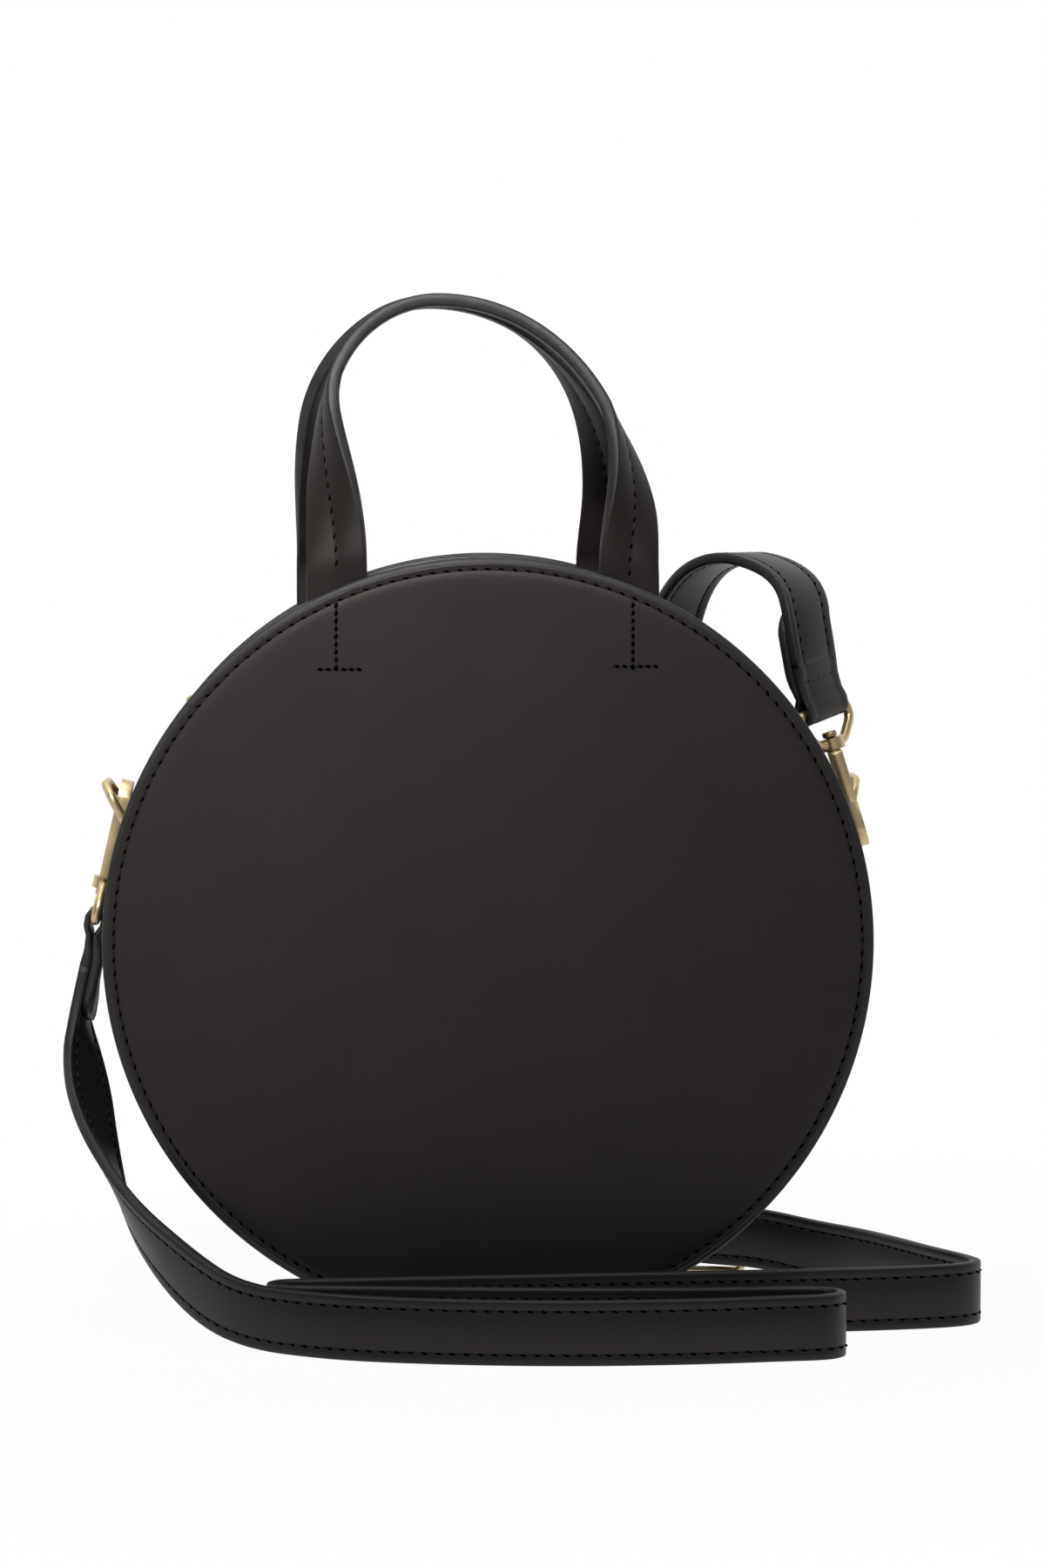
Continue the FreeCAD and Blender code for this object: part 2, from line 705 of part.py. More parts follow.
def stadium(half_width, low, high, round_top):
    """Edges of an upright outline with a round foot and, where asked, a round head."""
    foot = low + half_width
    head = high - half_width if round_top else high
    edges = [Part.Arc(V(-half_width, 0, foot), V(0, 0, low), V(half_width, 0, foot)).toShape(),
             Part.LineSegment(V(half_width, 0, foot), V(half_width, 0, head)).toShape(),
             Part.LineSegment(V(-half_width, 0, foot), V(-half_width, 0, head)).toShape()]
    if round_top:
        edges.append(Part.Arc(V(-half_width, 0, head), V(0, 0, high), V(half_width, 0, head)).toShape())
    else:
        edges.append(Part.LineSegment(V(-half_width, 0, head), V(half_width, 0, head)).toShape())
    return edges


def trigger_room(gap):
    """The space of the trigger's arm and eye, grown by a gap."""
    eye_radius = size("trigger_eye_diameter") / 2 + gap
    thickness = size("trigger_slot") - 2 * fit_gap + 2 * gap
    arm = block(hook_bar + gap, thickness, pin_place.z + eye_radius - hook_nose - fit_gap + gap,
                V(hook_half - hook_bar - gap, -thickness / 2, hook_nose + fit_gap - gap))
    web = block(hook_half, thickness, 2 * eye_radius, V(0, -thickness / 2, pin_place.z - eye_radius))
    eye = peg(eye_radius, thickness, pin_place - Y_AXIS * (thickness / 2), Y_AXIS)
    return arm.multiFuse([web, eye])


def gate_sweep(gap):
    """The round space that the trigger's free end sweeps about its pin."""
    reach = math.hypot(pin_place.z - hook_nose, hook_half - hook_bar / 2)
    width = hook_thickness + 2 * overrun
    return peg(reach + gap, width, pin_place - Y_AXIS * (width / 2), Y_AXIS)


def trigger():
    thickness = hook_thickness
    low = hook_nose - overrun
    arm = block(hook_bar, thickness, eye_top - fit_gap - low, V(hook_half - hook_bar, -thickness / 2, low))
    hole = peg(size("trigger_pin_diameter") / 2 + running_gap, thickness,
               pin_place - Y_AXIS * (thickness / 2), Y_AXIS)
    return trigger_room(0).fuse(arm).common(gate_sweep(-fit_gap / 2)).cut(hole).removeSplitter()


def hook_body():
    """A flat hook with a forked head; the side that the trigger closes is open."""
    plate = slab(stadium(hook_half, 0, hook_length, False), hook_thickness)
    eye = slab(stadium(hook_half - hook_bar, hook_bar, eye_top, False), hook_thickness + overrun)
    gate = block(hook_bar + overrun, hook_thickness + overrun, eye_top - hook_nose + overrun,
                 V(hook_half - hook_bar, -(hook_thickness + overrun) / 2, hook_nose - overrun))
    gate = gate.common(gate_sweep(fit_gap / 2))
    slot = size("trigger_slot")
    fork_low = pin_place.z - size("trigger_eye_diameter") / 2 - fit_gap
    swing = size("trigger_eye_diameter") / 2 + fit_gap
    fork = block(hook_half + swing + overrun, slot, pin_place.z + swing - fork_low,
                 V(-swing, -slot / 2, fork_low))
    pin = peg(size("trigger_pin_diameter") / 2, hook_thickness, pin_place - Y_AXIS * (hook_thickness / 2),
              Y_AXIS)
    throat = block(hook_half + swing, slot, fork_low - eye_top + overrun,
                   V(-swing, -slot / 2, eye_top - overrun))
    return plate.cut(eye).cut(gate).cut(fork).cut(throat).cut(pin).removeSplitter()


def trigger_pin():
    return peg(size("trigger_pin_diameter") / 2, hook_thickness, pin_place - Y_AXIS * (hook_thickness / 2),
               Y_AXIS)


def swivel_rivet():
    shaft = peg(size("swivel_shaft_diameter") / 2, boss_height + 2 * fit_gap, V(0, 0, hook_length), Z_AXIS)
    head = peg(size("swivel_head_diameter") / 2, size("swivel_head_height"),
               V(0, 0, boss_low + boss_height + fit_gap), Z_AXIS)
    return shaft.fuse(head).removeSplitter()


def swivel_ring():
    """Local X along the bar that the strap is folded round."""
    half = size("swivel_ring_inner_width") / 2 + size("swivel_ring_wire") / 2
    foot = size("swivel_ring_foot_width") / 2
    shoulder = ring_bar - size("swivel_ring_limb")
    corners = [V(-half, 0, ring_bar), V(-half, 0, shoulder), V(-foot, 0, ring_foot), V(foot, 0, ring_foot),
               V(half, 0, shoulder), V(half, 0, ring_bar)]
    tight, wide = size("swivel_ring_top_radius"), size("swivel_ring_foot_radius")
    loop = wire_loop(corners, [tight, wide, wide, wide, wide, tight], size("swivel_ring_wire") / 2)
    boss = peg(size("swivel_boss_diameter") / 2, boss_height, V(0, 0, boss_low), Z_AXIS)
    bore = peg(size("swivel_shaft_diameter") / 2 + running_gap, boss_height + 2 * overrun,
               V(0, 0, boss_low - overrun), Z_AXIS)
    return loop.fuse(boss).cut(bore)


def strap_fold(wire_radius, bar_width, slot_width):
    """A folded strap end: local Z leads away from the bar that it goes round, local X is its width."""
    hole = wire_radius + fit_gap
    outer = hole + size("strap_layer")
    leg, length = size("strap_end_leg"), size("strap_end_length")
    half_strap = size("strap_thickness") / 2
    outline = [V(0, outer, leg), V(0, half_strap, length), V(0, -half_strap, length), V(0, -outer, leg)]
    edges = list(Part.makePolygon([V(0, outer, 0)] + outline + [V(0, -outer, 0)]).Edges)
    edges.append(Part.Arc(V(0, -outer, 0), V(0, 0, -outer), V(0, outer, 0)).toShape())
    tip = leg + (length - leg) / 2
    inner = list(Part.makePolygon([V(0, hole, 0), V(0, 0, tip), V(0, -hole, 0)]).Edges)
    inner.append(Part.Arc(V(0, -hole, 0), V(0, 0, -hole), V(0, hole, 0)).toShape())
    solids = []
    for outline_edges in (edges, inner):
        face = Part.Face(Part.Wire(Part.__sortEdges__(outline_edges)))
        solid = face.extrude(V(bar_width, 0, 0))
        solid.translate(V(-bar_width / 2, 0, 0))
        solids.append(solid)
    fold = solids[0].cut(solids[1])
    if slot_width:
        reach = outer + overrun
        fold = fold.cut(block(slot_width, 2 * reach, reach + leg, V(-slot_width / 2, -reach, -reach)))
    return fold


def clasp(side, limb_point, across, axis, ring_across):
    """All the pieces of one clasp, hung on a ring's limb."""
    origin = limb_point + across * size("hook_wire_offset") - axis * size(f"{side}_hook_wire_height")
    hook_frame = frame_at(origin, across, axis)
    ring_frame = frame_at(origin, ring_across, axis)
    made(f"{side}_hook_body", hook_body(), hook_frame)
    made(f"{side}_trigger", trigger(), hook_frame)
    made(f"{side}_trigger_pin", trigger_pin(), hook_frame)
    made(f"{side}_swivel_rivet", swivel_rivet(), hook_frame)
    made(f"{side}_swivel_ring", swivel_ring(), ring_frame)
    bar_point = origin + axis * ring_bar
    fold = strap_fold(size("swivel_ring_wire") / 2, size("strap_width"), 0)
    made(f"{side}_strap_end", fold, frame_at(bar_point, ring_across, axis))
    return origin, bar_point + axis * size("strap_end_length")


limb_offset = size("d_ring_inner_width") / 2 + wire / 2
left_axis = direction(3 * QUARTER_TURN - tab_angle + size("left_hang_turn"))
right_axis = direction(tab_angle + QUARTER_TURN)
LEFT_STRAP_SIDE = V(0, -1, 0)
RIGHT_STRAP_SIDE = V(-0.7, -0.7, 0)
left_hook, left_strap_start = clasp(
    "left", left_bar + left_ring_heading * size("left_hook_seat") + Y_AXIS * limb_offset, Y_AXIS, left_axis,
    LEFT_STRAP_SIDE)
right_hook, right_strap_start = clasp(
    "right", right_bar + right_ring_heading * size("right_hook_seat") - Y_AXIS * limb_offset, -Y_AXIS,
    right_axis, RIGHT_STRAP_SIDE)

# Shoulder strap: a flat cord along its route; each point has the direction of the strap's width

LONG_ROUTE = [
    ((-121, 6, 71), (-0.5, -0.87, 0)),
    ((-114, -14, 52), (-0.15, -1, 0.1)),
    ((-99, -37, 37), (0.25, -0.75, 0.6)),
    ((-84, -57, 25), (0.3, -0.35, 0.88)),
    ((-67, -75, 14.5), (0.1, -0.15, 1)),
    ((-46, -90, 9.3), (0, 0, 1)),
    ((-18, -99.5, 9.1), (0, 0, 1)),
    ((18, -104, 9.1), (0, 0, 1)),
    ((54, -102, 9.1), (0, 0, 1)),
    ((82, -95.5, 9.1), (0, 0, 1)),
    ((96.5, -91, 9.1), (0, 0, 1)),
    ((101, -86, 9.1), (0, 0, 1)),
    ((97, -81.5, 9.1), (0, 0, 1)),
    ((82, -80.5, 9.1), (0, 0, 1)),
    ((52, -82, 9.1), (0, 0, 1)),
    ((16, -81, 9.1), (0, 0, 1)),
    ((-18, -78.5, 9.1), (0, 0, 1)),
    ((-44, -75.5, 9.1), (0, 0, 1)),
    ((-57.5, -73.5, 9.1), (0, 0, 1)),
    ((-62, -69, 9.1), (0, 0, 1)),
    ((-58, -64.5, 9.1), (0, 0, 1)),
    ((-44, -62, 9.1), (0, 0, 1)),
    ((-18, -59.5, 9.1), (0, 0, 1)),
    ((20, -55.5, 9.1), (0, 0, 1)),
    ((60, -51.5, 9.1), (0, 0, 1)),
    ((98, -48, 9.1), (0, 0, 1)),
    ((124, -43.5, 9.1), (0, 0, 1)),
    ((137, -38.5, 9.1), (0, 0, 1)),
    ((141, -31, 9.1), (0, 0, 1)),
    ((138, -22, 9.1), (0, 0, 1)),
    ((129.5, -6, 9.1), (0, 0, 1)),
    ((121.6, 12, 9.1), (0, 0, 1)),
    ((112.5, 30, 9.1), (0, 0, 1)),
    ((99, 43.5, 9.8), (0, 0, 1)),
]
SHORT_ROUTE = [
    ((86.5, -6, 211), (-0.7, -0.7, 0)),
    ((80, 6, 218.5), (-0.7, -0.7, 0)),
    ((73, 22, 221), (-0.7, -0.7, 0)),
    ((66.5, 39.5, 214.5), (-0.75, -0.65, 0)),
    ((61, 50, 196.5), (-0.9, -0.4, 0)),
    ((56, 51.5, 172), (-1, 0, 0)),
    ((48.5, 54, 146), (-1, 0.15, 0)),
    ((39, 57.5, 120), (-0.85, 0.5, 0)),
    ((29, 62, 92), (-0.6, 0.8, 0)),
    ((21, 66.5, 64), (-0.3, 0.95, 0)),
    ((18, 70, 40), (0, 0.9, 0.4)),
    ((22, 71.2, 22), (0, 0.5, 0.87)),
    ((31, 69, 12.4), (0, 0.1, 1)),
    ((45, 64.2, 12.4), (0, 0, 1)),
]
ARC_SHARE = 0.45
ARC_STEP = math.radians(24.0)


def vectors(route):
    return [V(*point) for point, side in route], [V(*side) for point, side in route]


def strap_stations(points, sides):
    """Places along straight runs and the arcs between them: point, heading and width direction."""
    heading = (points[1] - points[0]).normalize()
    stations = [(points[0], heading, sides[0])]
    radii = []
    length = 0.0
    here = points[0]
    for index in range(1, len(points) - 1):
        corner = points[index]
        run_in, run_out = corner - points[index - 1], points[index + 1] - corner
        ahead, onward = V(run_in).normalize(), V(run_out).normalize()
        turn = ahead.getAngle(onward)
        reach = ARC_SHARE * min(run_in.Length, run_out.Length)
        arc_radius = reach / math.tan(turn / 2)
        radii.append(arc_radius)
        start = corner - ahead * reach
        centre = start + (onward - ahead * onward.dot(ahead)).normalize() * arc_radius
        before = sides[index] + (sides[index - 1] - sides[index]) * (reach / run_in.Length)
        after = sides[index] + (sides[index + 1] - sides[index]) * (reach / run_out.Length)
        spoke = start - centre
        steps = max(1, math.ceil(turn / ARC_STEP))
        for step in range(steps + 1):
            share = step / steps
            angle = turn * share
            point = centre + spoke * math.cos(angle) + ahead * (arc_radius * math.sin(angle))
            heading = ahead * math.cos(angle) - V(spoke).normalize() * math.sin(angle)
            side = before * (1 - share) ** 2 + sides[index] * (2 * share * (1 - share)) + after * share ** 2
            stations.append((point, heading, side))
        length += (start - here).Length + arc_radius * turn
        here = corner + onward * reach
    length += (points[-1] - here).Length
    stations.append((points[-1], (points[-1] - points[-2]).normalize(), sides[-1]))
    return stations, radii, length


def strap(label, points, sides):
    width, thickness = size("strap_width"), size("strap_thickness")
    stations, radii, length = strap_stations(points, sides)
    sections = [flat_section(*station, width, thickness) for station in stations]
    solid = Part.makeLoft(sections, True, True)
    share = solid.Volume / (length * width * thickness)
    print(label, "length", round(length, 1), "volume share", round(share, 4))
    print(label, "arc radii", [round(value, 1) for value in radii])
    return solid


short_points, short_sides = vectors(SHORT_ROUTE)
short_points[:0] = [right_strap_start, right_strap_start + right_axis * size("strap_lead")]
short_sides[:0] = [RIGHT_STRAP_SIDE, RIGHT_STRAP_SIDE]
made("strap_short", strap("strap_short", short_points, short_sides))

# Pin buckle, in a frame at its heel bar: Z runs on along the strap, X is the strap's width

buckle_heading = (short_points[-1] - short_points[-2]).normalize()
buckle_origin = short_points[-1] + buckle_heading * size("strap_end_length")
buckle_frame = frame_at(buckle_origin, -Z_AXIS, buckle_heading)
buckle_wire = size("buckle_wire")
buckle_length = size("buckle_length")
buckle_rise = size("buckle_rise")
prong_radius = size("prong_diameter") / 2

heel_fold = strap_fold(buckle_wire / 2, size("strap_width"), size("prong_slot_width"))
made("buckle_strap_end", heel_fold, frame_at(buckle_origin, -Z_AXIS, -buckle_heading))


def buckle_frame_shape():
    half = size("strap_width") / 2 + size("buckle_side_gap") + buckle_wire / 2
    corners = [V(-half, 0, 0), V(half, 0, 0), V(half, buckle_rise, buckle_length),
               V(-half, buckle_rise, buckle_length)]
    return wire_loop(corners, [size("buckle_corner_radius")] * len(corners), buckle_wire / 2)


def buckle_prong():
    """A pin whose eye turns on the heel bar and whose tip rests on the front bar."""
    eye_radius = buckle_wire / 2 + fit_gap + prong_radius
    width = 2 * prong_radius
    eye = peg(eye_radius, width, V(-width / 2, 0, 0), X_AXIS)
    reach = math.hypot(buckle_rise, buckle_length)
    seat = buckle_wire / 2 + prong_radius + fit_gap / 2
    lift = math.atan2(buckle_rise, buckle_length) + math.asin(seat / reach)
    tip = V(0, math.sin(lift), math.cos(lift)) * (reach + size("prong_overhang"))
    rod = peg(prong_radius, tip.Length, V(), tip)
    bore = peg(buckle_wire / 2 + fit_gap, width, V(-width / 2, 0, 0), X_AXIS)
    return eye.fuse(rod).fuse(Part.makeSphere(prong_radius, tip)).cut(bore)


made("buckle_frame", buckle_frame_shape(), buckle_frame)
made("buckle_prong", buckle_prong(), buckle_frame)

# The long strap goes under the front bar, over the heel bar and back along the short strap

fold_outer = buckle_wire / 2 + fit_gap + size("strap_layer")
tail_height = fold_outer + fit_gap + size("strap_thickness") / 2
KEEPER_TOP_SHARE = 1.06
TAIL_ROUTE_SHARES = [(1.35, 0.0), (0.72, 0.42), (0.2, 1.0), (-0.3, 1.06), (-0.75, 1.0)]
long_points, long_sides = vectors(LONG_ROUTE)
long_points[:0] = [left_strap_start, left_strap_start + left_axis * size("strap_lead")]
long_sides[:0] = [LEFT_STRAP_SIDE, LEFT_STRAP_SIDE]
for along_share, height_share in TAIL_ROUTE_SHARES:
    local = V(0, tail_height * height_share, buckle_length * along_share)
    long_points.append(buckle_frame.multVec(local))
    long_sides.append(Z_AXIS)
long_strap = strap("strap_long", long_points, long_sides)
slot_reach = tail_height + size("strap_thickness")
prong_slot = block(size("prong_slot_width"), slot_reach, size("prong_slot_end") - size("prong_slot_start"),
                   V(-size("prong_slot_width") / 2, 0, size("prong_slot_start")))
prong_slot.Placement = buckle_frame
made("strap_long", long_strap.cut(prong_slot))


def strap_keeper():
    """A flat loop that holds the tail against the short strap."""
    wall, length = size("keeper_wall"), size("keeper_length")
    half = size("strap_width") / 2 + fit_gap
    low = -fold_outer - fit_gap
    high = tail_height * KEEPER_TOP_SHARE + size("strap_thickness") / 2 + fit_gap
    place = -size("keeper_set_back") - length / 2
    outer = block(2 * (half + wall), high - low + 2 * wall, length, V(-half - wall, low - wall, place))
    inner = block(2 * half, high - low, length + 2 * overrun, V(-half, low, place - overrun))
    return outer.cut(inner)


made("strap_keeper", strap_keeper(), buckle_frame)

# The back half repeats the front, and the left tab repeats the right one

mirror("back_handle_anchors", rear_anchors, Y_AXIS)
mirror("back_board", rear_board, Y_AXIS)
mirror("back_zip_gusset", rear_zip_gusset, Y_AXIS)
for front_label in ("lining", "zip_tape"):
    mirror(f"back_{front_label}", pieces[f"front_{front_label}"], Y_AXIS)
mirror("left_side_tab", right_tab, X_AXIS)

doc.recompute()

# Places that the joints turn about
print("left hook", left_hook, "axis", left_axis)
print("right hook", right_hook, "axis", right_axis)
print("left bar", left_bar, "right bar", right_bar)
print("left strap start", left_strap_start, "right strap start", right_strap_start)
print("buckle", buckle_origin, buckle_heading)
print("pull pin", slider_frame.multVec(V(lug_place + lug_length / 2, 0, pin_height)))

for feature in doc.Objects:
    if "Invalid" in feature.State or "Error" in feature.State:
        raise ValueError(f"{feature.Label} failed: {feature.State}")
for label, feature in pieces.items():
    if feature.Shape.isNull() or not feature.Shape.isValid():
        raise ValueError(f"{label} has no valid shape")

os.makedirs("parts", exist_ok=True)
for label, feature in pieces.items():
    feature.Shape.exportStep(f"parts/{label}.step")
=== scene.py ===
"""Round leather handbag with top handles and a buckled shoulder strap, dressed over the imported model."""
import math

import bmesh
import bpy
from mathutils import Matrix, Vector


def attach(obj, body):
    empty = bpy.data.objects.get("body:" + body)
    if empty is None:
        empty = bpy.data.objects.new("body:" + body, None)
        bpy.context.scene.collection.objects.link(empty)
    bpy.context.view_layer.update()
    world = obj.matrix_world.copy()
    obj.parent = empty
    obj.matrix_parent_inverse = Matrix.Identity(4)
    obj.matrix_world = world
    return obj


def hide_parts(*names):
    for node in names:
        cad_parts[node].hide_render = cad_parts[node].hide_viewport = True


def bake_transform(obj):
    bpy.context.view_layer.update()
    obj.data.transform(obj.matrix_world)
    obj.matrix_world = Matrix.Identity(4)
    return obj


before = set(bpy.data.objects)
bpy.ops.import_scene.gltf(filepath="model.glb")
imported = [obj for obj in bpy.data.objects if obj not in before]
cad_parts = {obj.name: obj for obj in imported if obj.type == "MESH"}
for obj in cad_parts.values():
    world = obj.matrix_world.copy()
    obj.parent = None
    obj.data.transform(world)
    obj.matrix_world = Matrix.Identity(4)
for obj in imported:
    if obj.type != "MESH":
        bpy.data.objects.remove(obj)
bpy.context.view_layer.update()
MM = 0.001
scene = bpy.context.scene
Y_AXIS = Vector((0, 1, 0))
Z_AXIS = Vector((0, 0, 1))

# Sizes of the bag, in millimetres and degrees
CENTRE_HEIGHT = 110.0
PANEL_FACE = 38.0
PANEL_INSIDE = 35.6
STITCH_RADIUS = 106.6
GUSSET_RADIUS, GUSSET_INSIDE = 106.0, 104.4
ZIP_START, ZIP_END, ZIP_HALF_OPENING = 24.0, 156.0, 6.0
STRAP_WIDTH, STRAP_THICKNESS = 18.0, 3.2
HANDLE_WIDTH, HANDLE_THICKNESS = 17.0, 3.6
STITCH_PITCH, STITCH_LENGTH, THREAD = 3.9, 2.7, 0.62
HOLE_LENGTH, HOLE_WIDTH, SLIT_SLANT = 1.8, 0.74, 0.25


# Materials

class Nodes:
    """A new material's node tree, with short calls to add and link nodes."""

    def __init__(self, name):
        self.material = bpy.data.materials.new(name)
        self.material.use_nodes = True
        self.tree = self.material.node_tree
        self.shader = self.tree.nodes["Principled BSDF"]
        self.coords = self.add("ShaderNodeTexCoord").outputs["Object"]

    def add(self, kind, **values):
        node = self.tree.nodes.new(kind)
        for key, value in values.items():
            setattr(node, key, value)
        return node

    def link(self, source, target):
        self.tree.links.new(source, target)

    def noise(self, scale, detail=4.0, rough=0.55):
        node = self.add("ShaderNodeTexNoise")
        node.inputs["Scale"].default_value = scale
        node.inputs["Detail"].default_value = detail
        node.inputs["Roughness"].default_value = rough
        self.link(self.coords, node.inputs["Vector"])
        return node.outputs["Fac"]

    def cells(self, scale):
        node = self.add("ShaderNodeTexVoronoi")
        node.inputs["Scale"].default_value = scale
        self.link(self.coords, node.inputs["Vector"])
        return node.outputs["Distance"]

    def ramp(self, source, stops):
        node = self.add("ShaderNodeValToRGB")
        ramp = node.color_ramp
        while len(ramp.elements) < len(stops):
            ramp.elements.new(0.5)
        for element, (place, colour) in zip(ramp.elements, stops):
            element.position = place
            element.color = (*colour, 1.0)
        self.link(source, node.inputs["Fac"])
        return node.outputs["Color"]

    def span(self, source, low, high):
        node = self.add("ShaderNodeMapRange")
        node.inputs["To Min"].default_value = low
        node.inputs["To Max"].default_value = high
        self.link(source, node.inputs["Value"])
        return node.outputs["Result"]

    def bump(self, layers):
        """Bumps one over another: each a height, a strength and a depth in metres."""
        normal = None
        for height, strength, depth in layers:
            node = self.add("ShaderNodeBump")
            node.inputs["Strength"].default_value = strength
            node.inputs["Distance"].default_value = depth
            self.link(height, node.inputs["Height"])
            if normal is not None:
                self.link(normal, node.inputs["Normal"])
            normal = node.outputs["Normal"]
        self.link(normal, self.shader.inputs["Normal"])

    def colour(self, source, stops):
        self.link(self.ramp(source, stops), self.shader.inputs["Base Color"])

    def roughness(self, source, low, high):
        self.link(self.span(source, low, high), self.shader.inputs["Roughness"])

    def set(self, **values):
        for key, value in values.items():
            self.shader.inputs[key.replace("_", " ")].default_value = value


def leather(name, dark, light, rough_low, rough_high, grain, gloss):
    nodes = Nodes(name)
    nodes.colour(nodes.noise(26.0, 5.0, 0.6), [(0.3, dark), (0.72, light)])
    nodes.roughness(nodes.noise(90.0, 6.0, 0.65), rough_low, rough_high)
    nodes.bump([(nodes.noise(14.0, 2.0), 0.35, 0.0006), (nodes.cells(1150.0), grain, 0.00007),
                (nodes.noise(2600.0, 3.0), grain, 0.00004)])
    nodes.set(Specular_IOR_Level=gloss, Specular_Tint=(1.0, 0.90, 0.87, 1.0))
    return nodes.material


def edge_paint(name):
    nodes = Nodes(name)
    nodes.colour(nodes.noise(120.0), [(0.3, (0.010, 0.0094, 0.0094)), (0.75, (0.021, 0.020, 0.0205))])
    nodes.roughness(nodes.noise(260.0), 0.48, 0.6)
    nodes.bump([(nodes.noise(420.0, 2.0), 0.07, 0.0001)])
    nodes.set(Specular_IOR_Level=0.34)
    return nodes.material


def thread(name):
    nodes = Nodes(name)
    nodes.colour(nodes.noise(700.0), [(0.35, (0.004, 0.004, 0.004)), (0.7, (0.011, 0.010, 0.010))])
    wave = nodes.add("ShaderNodeTexWave", bands_direction="DIAGONAL")
    wave.inputs["Scale"].default_value = 900.0
    nodes.link(nodes.coords, wave.inputs["Vector"])
    nodes.bump([(wave.outputs["Fac"], 0.5, 0.0001)])
    nodes.set(Roughness=0.55, Specular_IOR_Level=0.25)
    return nodes.material


# Near-black, unreflecting material for the slits between stitches: painted shade standing for the dark inside
# the stitch holes.
def painted_slit_shade(name):
    nodes = Nodes(name)
    nodes.colour(nodes.noise(600.0), [(0.3, (0.0012, 0.0012, 0.0012)), (0.7, (0.003, 0.003, 0.003))])
    nodes.roughness(nodes.noise(300.0), 0.85, 1.0)
    nodes.set(Specular_IOR_Level=0.0)
    return nodes.material


def metal(name, dark, light, rough_low, rough_high):
    nodes = Nodes(name)
    nodes.colour(nodes.noise(140.0, 5.0), [(0.3, dark), (0.65, light)])
    nodes.roughness(nodes.noise(420.0, 4.0), rough_low, rough_high)
    nodes.bump([(nodes.noise(900.0, 3.0), 0.12, 0.00005)])
    nodes.set(Metallic=1.0)
    return nodes.material


def cloth(name, dark, light, pitch):
    nodes = Nodes(name)
    weave = nodes.add("ShaderNodeTexWave", bands_direction="DIAGONAL")
    weave.inputs["Scale"].default_value = pitch
    weave.inputs["Distortion"].default_value = 1.5
    nodes.link(nodes.coords, weave.inputs["Vector"])
    nodes.colour(weave.outputs["Fac"], [(0.2, dark), (0.8, light)])
    nodes.bump([(weave.outputs["Fac"], 0.5, 0.00012), (nodes.noise(500.0), 0.3, 0.0001)])
    nodes.set(Roughness=0.85, Sheen_Weight=0.25)
    return nodes.material


PANEL_LEATHER = leather("panel_leather", (0.0072, 0.0060, 0.0058), (0.0116, 0.0099, 0.0095),
                        rough_low=0.41, rough_high=0.53, grain=0.24, gloss=0.33)
STRAP_LEATHER = leather("strap_leather", (0.0066, 0.0059, 0.0059), (0.0106, 0.0095, 0.0095),
                        rough_low=0.40, rough_high=0.52, grain=0.22, gloss=0.38)
HANDLE_LEATHER = leather("handle_leather", (0.0078, 0.0064, 0.0058), (0.0122, 0.0100, 0.0092),
                         rough_low=0.48, rough_high=0.6, grain=0.22, gloss=0.17)
EDGE = edge_paint("edge_paint")
# The second sewing material is painted shade: near-black slits for the dark of the stitch holes.
SEWING = [thread("thread"), painted_slit_shade("stitch_slit_painted_shade")]
BRASS = metal("antique_brass", (0.46, 0.36, 0.19), (0.60, 0.49, 0.28), 0.30, 0.44)
DARK_BRASS = metal("dark_brass", (0.20, 0.155, 0.085), (0.40, 0.32, 0.18), 0.34, 0.5)
LINING = cloth("lining_cloth", (0.035, 0.031, 0.030), (0.062, 0.056, 0.054), 1100.0)
TAPE = cloth("zip_tape_cloth", (0.012, 0.012, 0.012), (0.030, 0.029, 0.029), 1300.0)
BOARD = cloth("board", (0.30, 0.27, 0.23), (0.40, 0.36, 0.31), 500.0)


# Mesh helpers

def new_piece(name, mesh, body, nodes=(), materials=()):
    """An object for a mesh: it rides on a body and stands for CAD nodes."""
    piece = bpy.data.objects.new(name, mesh)
    scene.collection.objects.link(piece)
    for material in materials:
        mesh.materials.append(material)
    if body:
        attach(piece, body)
    if nodes:
        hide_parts(*nodes)
    return piece


def mesh_from(name, points, faces, indices):
    """A smooth mesh from points in millimetres; indices give each face its material."""
    mesh = bpy.data.meshes.new(name)
    mesh.from_pydata([Vector(point) * MM for point in points], [], faces)
    mesh.polygons.foreach_set("material_index", indices)
    mesh.polygons.foreach_set("use_smooth", [True] * len(mesh.polygons))
    mesh.update()
    return mesh


def loft(name, rings, looped=False, edge_columns=()):
    """A skin over rings of the same number of points; edge columns take the second material."""
    count = len(rings[0])
    points = [point for ring in rings for point in ring]
    faces, indices = [], []
    rows = len(rings) if looped else len(rings) - 1
    for row in range(rows):
        low, high = row * count, (row + 1) % len(rings) * count
        for column in range(count):
            onward = (column + 1) % count
            faces.append((low + column, low + onward, high + onward, high + column))
            indices.append(1 if column in edge_columns else 0)
    if not looped:
        last = (len(rings) - 1) * count
        faces.append(tuple(reversed(range(count))))
        faces.append(tuple(range(last, last + count)))
        indices += [1, 1] if edge_columns else [0, 0]
    return mesh_from(name, points, faces, indices)


DIP_HALF_WIDTH = 0.9
EDGE_SWELL = 0.12


